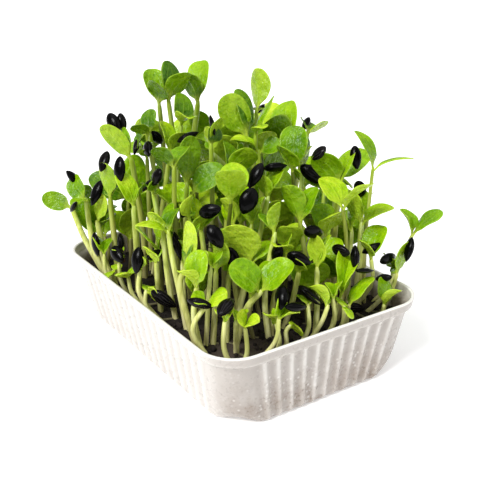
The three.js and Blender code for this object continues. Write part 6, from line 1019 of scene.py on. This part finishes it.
def make_tray(mat):
    b = Build()
    sts = stations()
    band, top = TRAY_HEIGHT - RIM_BAND, TRAY_HEIGHT
    wt, rp = WALL_THICKNESS, RIM_PROUD
    rows = []  # height, offset, rib share, damp soil behind, base level, band tone
    for z in (0.0, 0.12, 0.4, 0.9, 1.6, 2.6, 3.8, 5.4, 7.4, 10.0, 13.0, 16.5, 20.0, 23.0, 25.5, 27.5):
        rows.append((z, 0.0, min(1.0, 0.6 + 0.13 * z), 1.0 if z < SOIL_TOP - 2 else 0.45, 0.0, None))
    # the last value of each rim row is the band tone: painted light, a painted highlight along the rim's top edge and
    # at the band's step
    rows += [(band - 1.9, -0.02, 0.95, 0.3, None, None), (band - 1.3, -0.10, 0.75, 0.2, None, None), (band - 0.8, -0.30, 0.40, 0.1, None, 0.4),
             (band - 0.4, -0.58, 0.12, 0.1, None, 0.5), (band, -rp * 0.95, 0, 0.1, None, 0.55), (band + 0.5, -rp, 0, 0.12, None, 0.42),
             (band + 1.0, -rp, 0, 0.12, None, 0.32), (band + 2.6, -rp, 0, 0.12, None, 0.32), (top - 0.7, -rp * 1.02, 0, 0.05, None, 0.45),
             (top - 0.25, -rp * 0.9, 0, 0.0, None, 1.0), (top - 0.04, -rp * 0.5, 0, 0.0, None, 1.0), (top, -0.05, 0, 0.0, None, 1.0),
             (top - 0.06, 0.36, 0, 0.0, None, 1.0), (top - 0.3, wt - 0.24, 0, 0.0, None, 0.9), (top - 0.8, wt - 0.24, 0, 0.0, None, 0.8),
             (band + 0.4, wt - rp + 0.24, 0, 0.1, None, 0.7), (band - 0.6, wt - 0.35, 0.3, 0.3, None, 0.5), (band - 1.7, wt, 1, 0.6, None, None),
             (SOIL_TOP + 2, wt, 1, 1.0, None, None), (SOIL_TOP - 6, wt, 1, 1.0, wt, None), (10.0, wt, 1, 1.0, wt, None), (6.0, wt, 1, 1.0, wt, None),
             (3.0, wt, 1, 1.0, wt, None), (1.4, wt, 0.8, 1.0, wt, None), (wt, wt, 0.6, 1.0, wt, None)]
    rings, uv, tone, under = [], [], [], []
    for j, (z, offset, rib, soil, base, flat) in enumerate(rows):
        ring = []
        for i, st in enumerate(sts):
            inset = 0.0 if base is None else base_inset(st, z - base)
            x, y = plan(st, z, offset + inset + RIB_DEPTH * rib * (1 - st[4]))
            ring.append((x, y, z))
            uv.append((i / len(sts), z / TRAY_HEIGHT))
            painted_lit_side = 0.0  # the long side that faces the light is painted lighter, with flatter rib shading and less soil showing through: painted light
            if st[0] == "s" and st[1] == (-1, 0):
                painted_lit_side = 1.0
            elif st[0] == "c" and st[1] == 2:
                painted_lit_side = 1.0 - float(smooth(0, 60, st[2]))
            elif st[0] == "c" and st[1] == 1:
                painted_lit_side = float(smooth(0, 60, st[2]))
            # painted light and shade: rib ridges lighter than their valleys, flat corners in between, and the band
            # tones on the rim
            t = flat if flat is not None else (0.22 if st[0] == "c" else 0.14 + 0.62 * st[4])
            tone.append(t + (0.86 - t) * 0.62 * painted_lit_side)
            under.append(soil * (1 - 0.8 * painted_lit_side) if j < 31 else 1.0 + min(1.0, 0.25 + 0.28 * (j - 31)))
        rings.append(np.array(ring))
    verts, faces = loft(rings)
    uv += [(0.5, 0), (0.5, 0)]
    tone += [0.5, 0.5]
    under += [0.6, 0.6]
    b.add(verts, faces, 0, uv, np.array(tone), np.array(under))
    return b.object("tray_look", [mat])


# ---------------------------------------------------------------- soil
def fbm(x, y, z, octaves=4):
    return noise.fractal(Vector((x, y, z)), 1.0, 2.0, octaves)


def soil_height(x, y):
    near = math.hypot(x + TRAY_HALF_X - 6, y + TRAY_HALF_Y - 6)
    h = SOIL_TOP + 0.6
    h += 1.5 * fbm(x * 0.055, y * 0.055, 3.1, 3)
    h += 1.0 * fbm(x * 0.19, y * 0.19, 7.7, 4)
    h += 0.5 * abs(fbm(x * 0.55, y * 0.55, 1.3, 3))
    h -= 4.2 * max(0.0, 1 - near / 24) ** 0.8
    return h


def make_soil(mat, rng):
    b = Build()
    gap = WALL_THICKNESS + RIB_DEPTH + 0.15
    sts = stations(4, 8)
    shares = np.concatenate([[1.0], np.linspace(0.985, 0.04, 46)])
    rings, uv = [], []
    for z in (1.3, 1.7, 2.6, 4.3, 7.3, 11.3):
        r = []
        for st in sts:
            x, y = plan(st, z, gap + base_inset(st, z - 1.3))
            r.append((x, y, z))
        rings.append(np.array(r))
    for q in shares:
        r = []
        for st in sts:
            x, y = plan(st, SOIL_TOP, gap)
            x, y = x * q, y * q
            z = soil_height(x, y)
            if q > 0.99:
                z -= 0.9
            r.append((x, y, z))
        rings.append(np.array(r))
    verts, faces = loft(rings)
    uv = verts[:, :2] * 0.01 + 0.5
    # soil painted lighter towards the near corner, strongly enough to lift it out of the shadow there: painted light
    near_corner_painted_light = [0.05 + 0.75 * max(0.0, 1 - math.hypot(p[0] + TRAY_HALF_X - 14, p[1] + TRAY_HALF_Y - 8) / 40) for p in verts]
    b.add(verts, faces, 0, uv, np.array(near_corner_painted_light), 0.0)
    # crumbs
    phi = (1 + 5**0.5) / 2
    ico = np.array([(-1, phi, 0), (1, phi, 0), (-1, -phi, 0), (1, -phi, 0), (0, -1, phi), (0, 1, phi), (0, -1, -phi), (0, 1, -phi), (phi, 0, -1), (phi, 0, 1), (-phi, 0, -1), (-phi, 0, 1)]) / math.hypot(1, phi)
    icf = [(0, 11, 5), (0, 5, 1), (0, 1, 7), (0, 7, 10), (0, 10, 11), (1, 5, 9), (5, 11, 4), (11, 10, 2), (10, 7, 6), (7, 1, 8), (3, 9, 4), (3, 4, 2), (3, 2, 6), (3, 6, 8), (3, 8, 9), (4, 9, 5), (2, 4, 11), (6, 2, 10), (8, 6, 7), (9, 8, 1)]
    for _ in range(620):
        x, y = rng.uniform(-46, 46), rng.uniform(-64, 64)
        cx, cy = max(-34, min(34, x)), max(-52, min(52, y))
        if math.hypot(x - cx, y - cy) > 11.2:
            continue
        size = rng.choice([0.6, 0.9, 1.3, 1.9], p=[0.4, 0.33, 0.2, 0.07])
        sc = size * rng.uniform(0.6, 1.2, 3)
        # one finer level, pushed about so that each crumb is irregular
        vs, fs, mid = [tuple(p) for p in ico], [], {}

        def half(i, j):
            key = (min(i, j), max(i, j))
            if key not in mid:
                p = np.array(vs[i]) + np.array(vs[j])
                vs.append(tuple(unit(p)))
                mid[key] = len(vs) - 1
            return mid[key]

        for i, j, k in icf:
            a, c, d = half(i, j), half(j, k), half(k, i)
            fs += [(i, a, d), (j, c, a), (k, d, c), (a, c, d)]
        off = rng.uniform(0, 50)
        pts = []
        for p in vs:
            p = np.array(p)
            p = p * (1 + 0.38 * noise.noise(Vector((p[0] * 1.7 + off, p[1] * 1.7, p[2] * 1.7))))
            pts.append(p * sc + np.array((x, y, soil_height(x, y) + 0.25 * size)))
        b.add(np.array(pts), fs, 0, np.array(pts)[:, :2] * 0.01 + 0.5, rng.uniform(0, 0.5) ** 2, 0.0)
    return b.object("soil_look", [mat])


# ---------------------------------------------------------------- assembling
leaf_m, stem_m, hull_m = leaf_material(), stem_material(), hull_material()
soil_m, tray_m = soil_material(), tray_material()

tray = make_tray(tray_m)
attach(tray, "root"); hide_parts("tray")
soil = make_soil(soil_m, np.random.default_rng(5))
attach(soil, "root"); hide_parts("soil")

for ci, (name, members, ties) in enumerate(CLUMPS):
    b = Build()
    for k in members:
        row = SPROUTS[k]
        rng = np.random.default_rng(1000 + k)
        r = row["r"]
        stem = [np.array(p) for p in row["stem"]]
        foot = stem[0] - unit(stem[1] - stem[0]) * 3.0
        up = unit(stem[-1] - stem[-2])
        path = [foot] + stem[1:-1] + [stem[-1] + up * 0.5]
        # a given st is painted light and shade: low for stems deep in the stand, high for those at the front; other
        # stems get a random tone
        stem_tone_and_shade = row["st"] if "st" in row else rng.uniform(0.35, 1.0)
        tall = stem[-1][2] - stem[0][2]
        thick = r * row.get("fat", 1.0)
        add_tube(b, path, lambda t: thick * (1.08 - 0.20 * t) * (1 - 0.45 * float(smooth(0.955, 1.0, t))), STEM, stem_tone_and_shade, n=max(14, int(tall / 2.4)), sides=11, v1=min(1.0, max(0.4, tall / 48)))
        for i, q in enumerate(row["blades"]):
            tone = row["tone"][i]
            grow = row.get("grow", 1.1)
            wide = row["wide"][i] if "wide" in row else grow
            add_blade(b, stem[-1], up, min(thick, 1.15 * r), q[0:3], q[3:6], q[6], q[7], tone, rng, grow, wide)
        for i, q in enumerate(row["hulls"]):
            add_hull(b, q, rng)
    for i, j in ties:
        a, c = np.array(SPROUTS[i]["stem"][0]), np.array(SPROUTS[j]["stem"][0])
        mid = (a + c) / 2 + np.array((0, 0, 0.4))
        a, c = a + (0, 0, 0.4), c + (0, 0, 0.4)
        add_tube(b, [a, mid, c], lambda t: 0.55, STEM, 0.0, n=8, sides=7, v0=0.0, v1=0.05)
    ob = b.object(name + "_look", [leaf_m, stem_m, hull_m])
    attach(ob, "root"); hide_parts(name)

for hi, (name, row) in enumerate(LOOSE_HULLS):
    b = Build()
    add_hull(b, row, np.random.default_rng(300 + hi))
    b.m = [0] * len(b.m)
    ob = b.object(name + "_look", [hull_m])
    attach(ob, "root"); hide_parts(name)

# ---------------------------------------------------------------- stage, light, camera
fm = Mat("floor")
fm.link(fm.ramp(fm.noise(3, 2), [(0.3, (0.90, 0.90, 0.90)), (0.7, (0.93, 0.93, 0.93))]), fm.bsdf.inputs["Base Color"])
fm.set(Roughness=0.7, Specular_IOR_Level=0.2, Emission_Strength=0.34)
fm.bsdf.inputs["Emission Color"].default_value = (1.0, 1.0, 1.0, 1.0)
me = bpy.data.meshes.new("floor")
me.from_pydata([(-6, -6, 0), (6, -6, 0), (6, 6, 0), (-6, 6, 0)], [], [(0, 1, 2, 3)])
me.materials.append(fm.mat)
floor = bpy.data.objects.new("floor", me)
bpy.context.scene.collection.objects.link(floor)
floor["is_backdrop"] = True

world = bpy.data.worlds.new("studio")
bpy.context.scene.world = world
world.use_nodes = True
world.node_tree.nodes["Background"].inputs[0].default_value = (1.0, 1.0, 1.0, 1)
world.node_tree.nodes["Background"].inputs[1].default_value = 0.32


def aim(ob, to):
    d = Vector(to) - ob.location
    ob.rotation_euler = d.to_track_quat("-Z", "Y").to_euler()


def sun(name, at, power, angle):
    l = bpy.data.lights.new(name, "SUN")
    l.energy = power
    l.angle = math.radians(angle)
    o = bpy.data.objects.new(name, l)
    o.location = at
    aim(o, (0, 0, 0.03))
    bpy.context.scene.collection.objects.link(o)


sun("key", (-0.85, -0.22, 0.95), 3.1, 20)
sun("top", (-0.10, 0.10, 1.2), 0.9, 60)
sun("fill", (0.45, -0.95, 0.70), 0.62, 60)

cam = bpy.data.cameras.new("camera")
cam.sensor_width = 36.0
cam.sensor_fit = "HORIZONTAL"
cam.lens = 836.8 / 480 * 36.0
cam.clip_start = 0.01
cam.clip_end = 20
co = bpy.data.objects.new("camera", cam)
az, el = math.radians(-34.32), math.radians(21.91)
back = Vector((math.sin(az) * math.cos(el), -math.cos(az) * math.cos(el), math.sin(el)))
co.location = Vector((0.0290, 0.0368, 0.0300)) + back * 0.4263
co.rotation_euler = back.to_track_quat("Z", "Y").to_euler()
bpy.context.scene.collection.objects.link(co)
bpy.context.scene.camera = co

bpy.context.scene.view_settings.view_transform = "Standard"
bpy.context.scene.view_settings.look = "None"
bpy.context.scene.view_settings.exposure = 0.0

lo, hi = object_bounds()
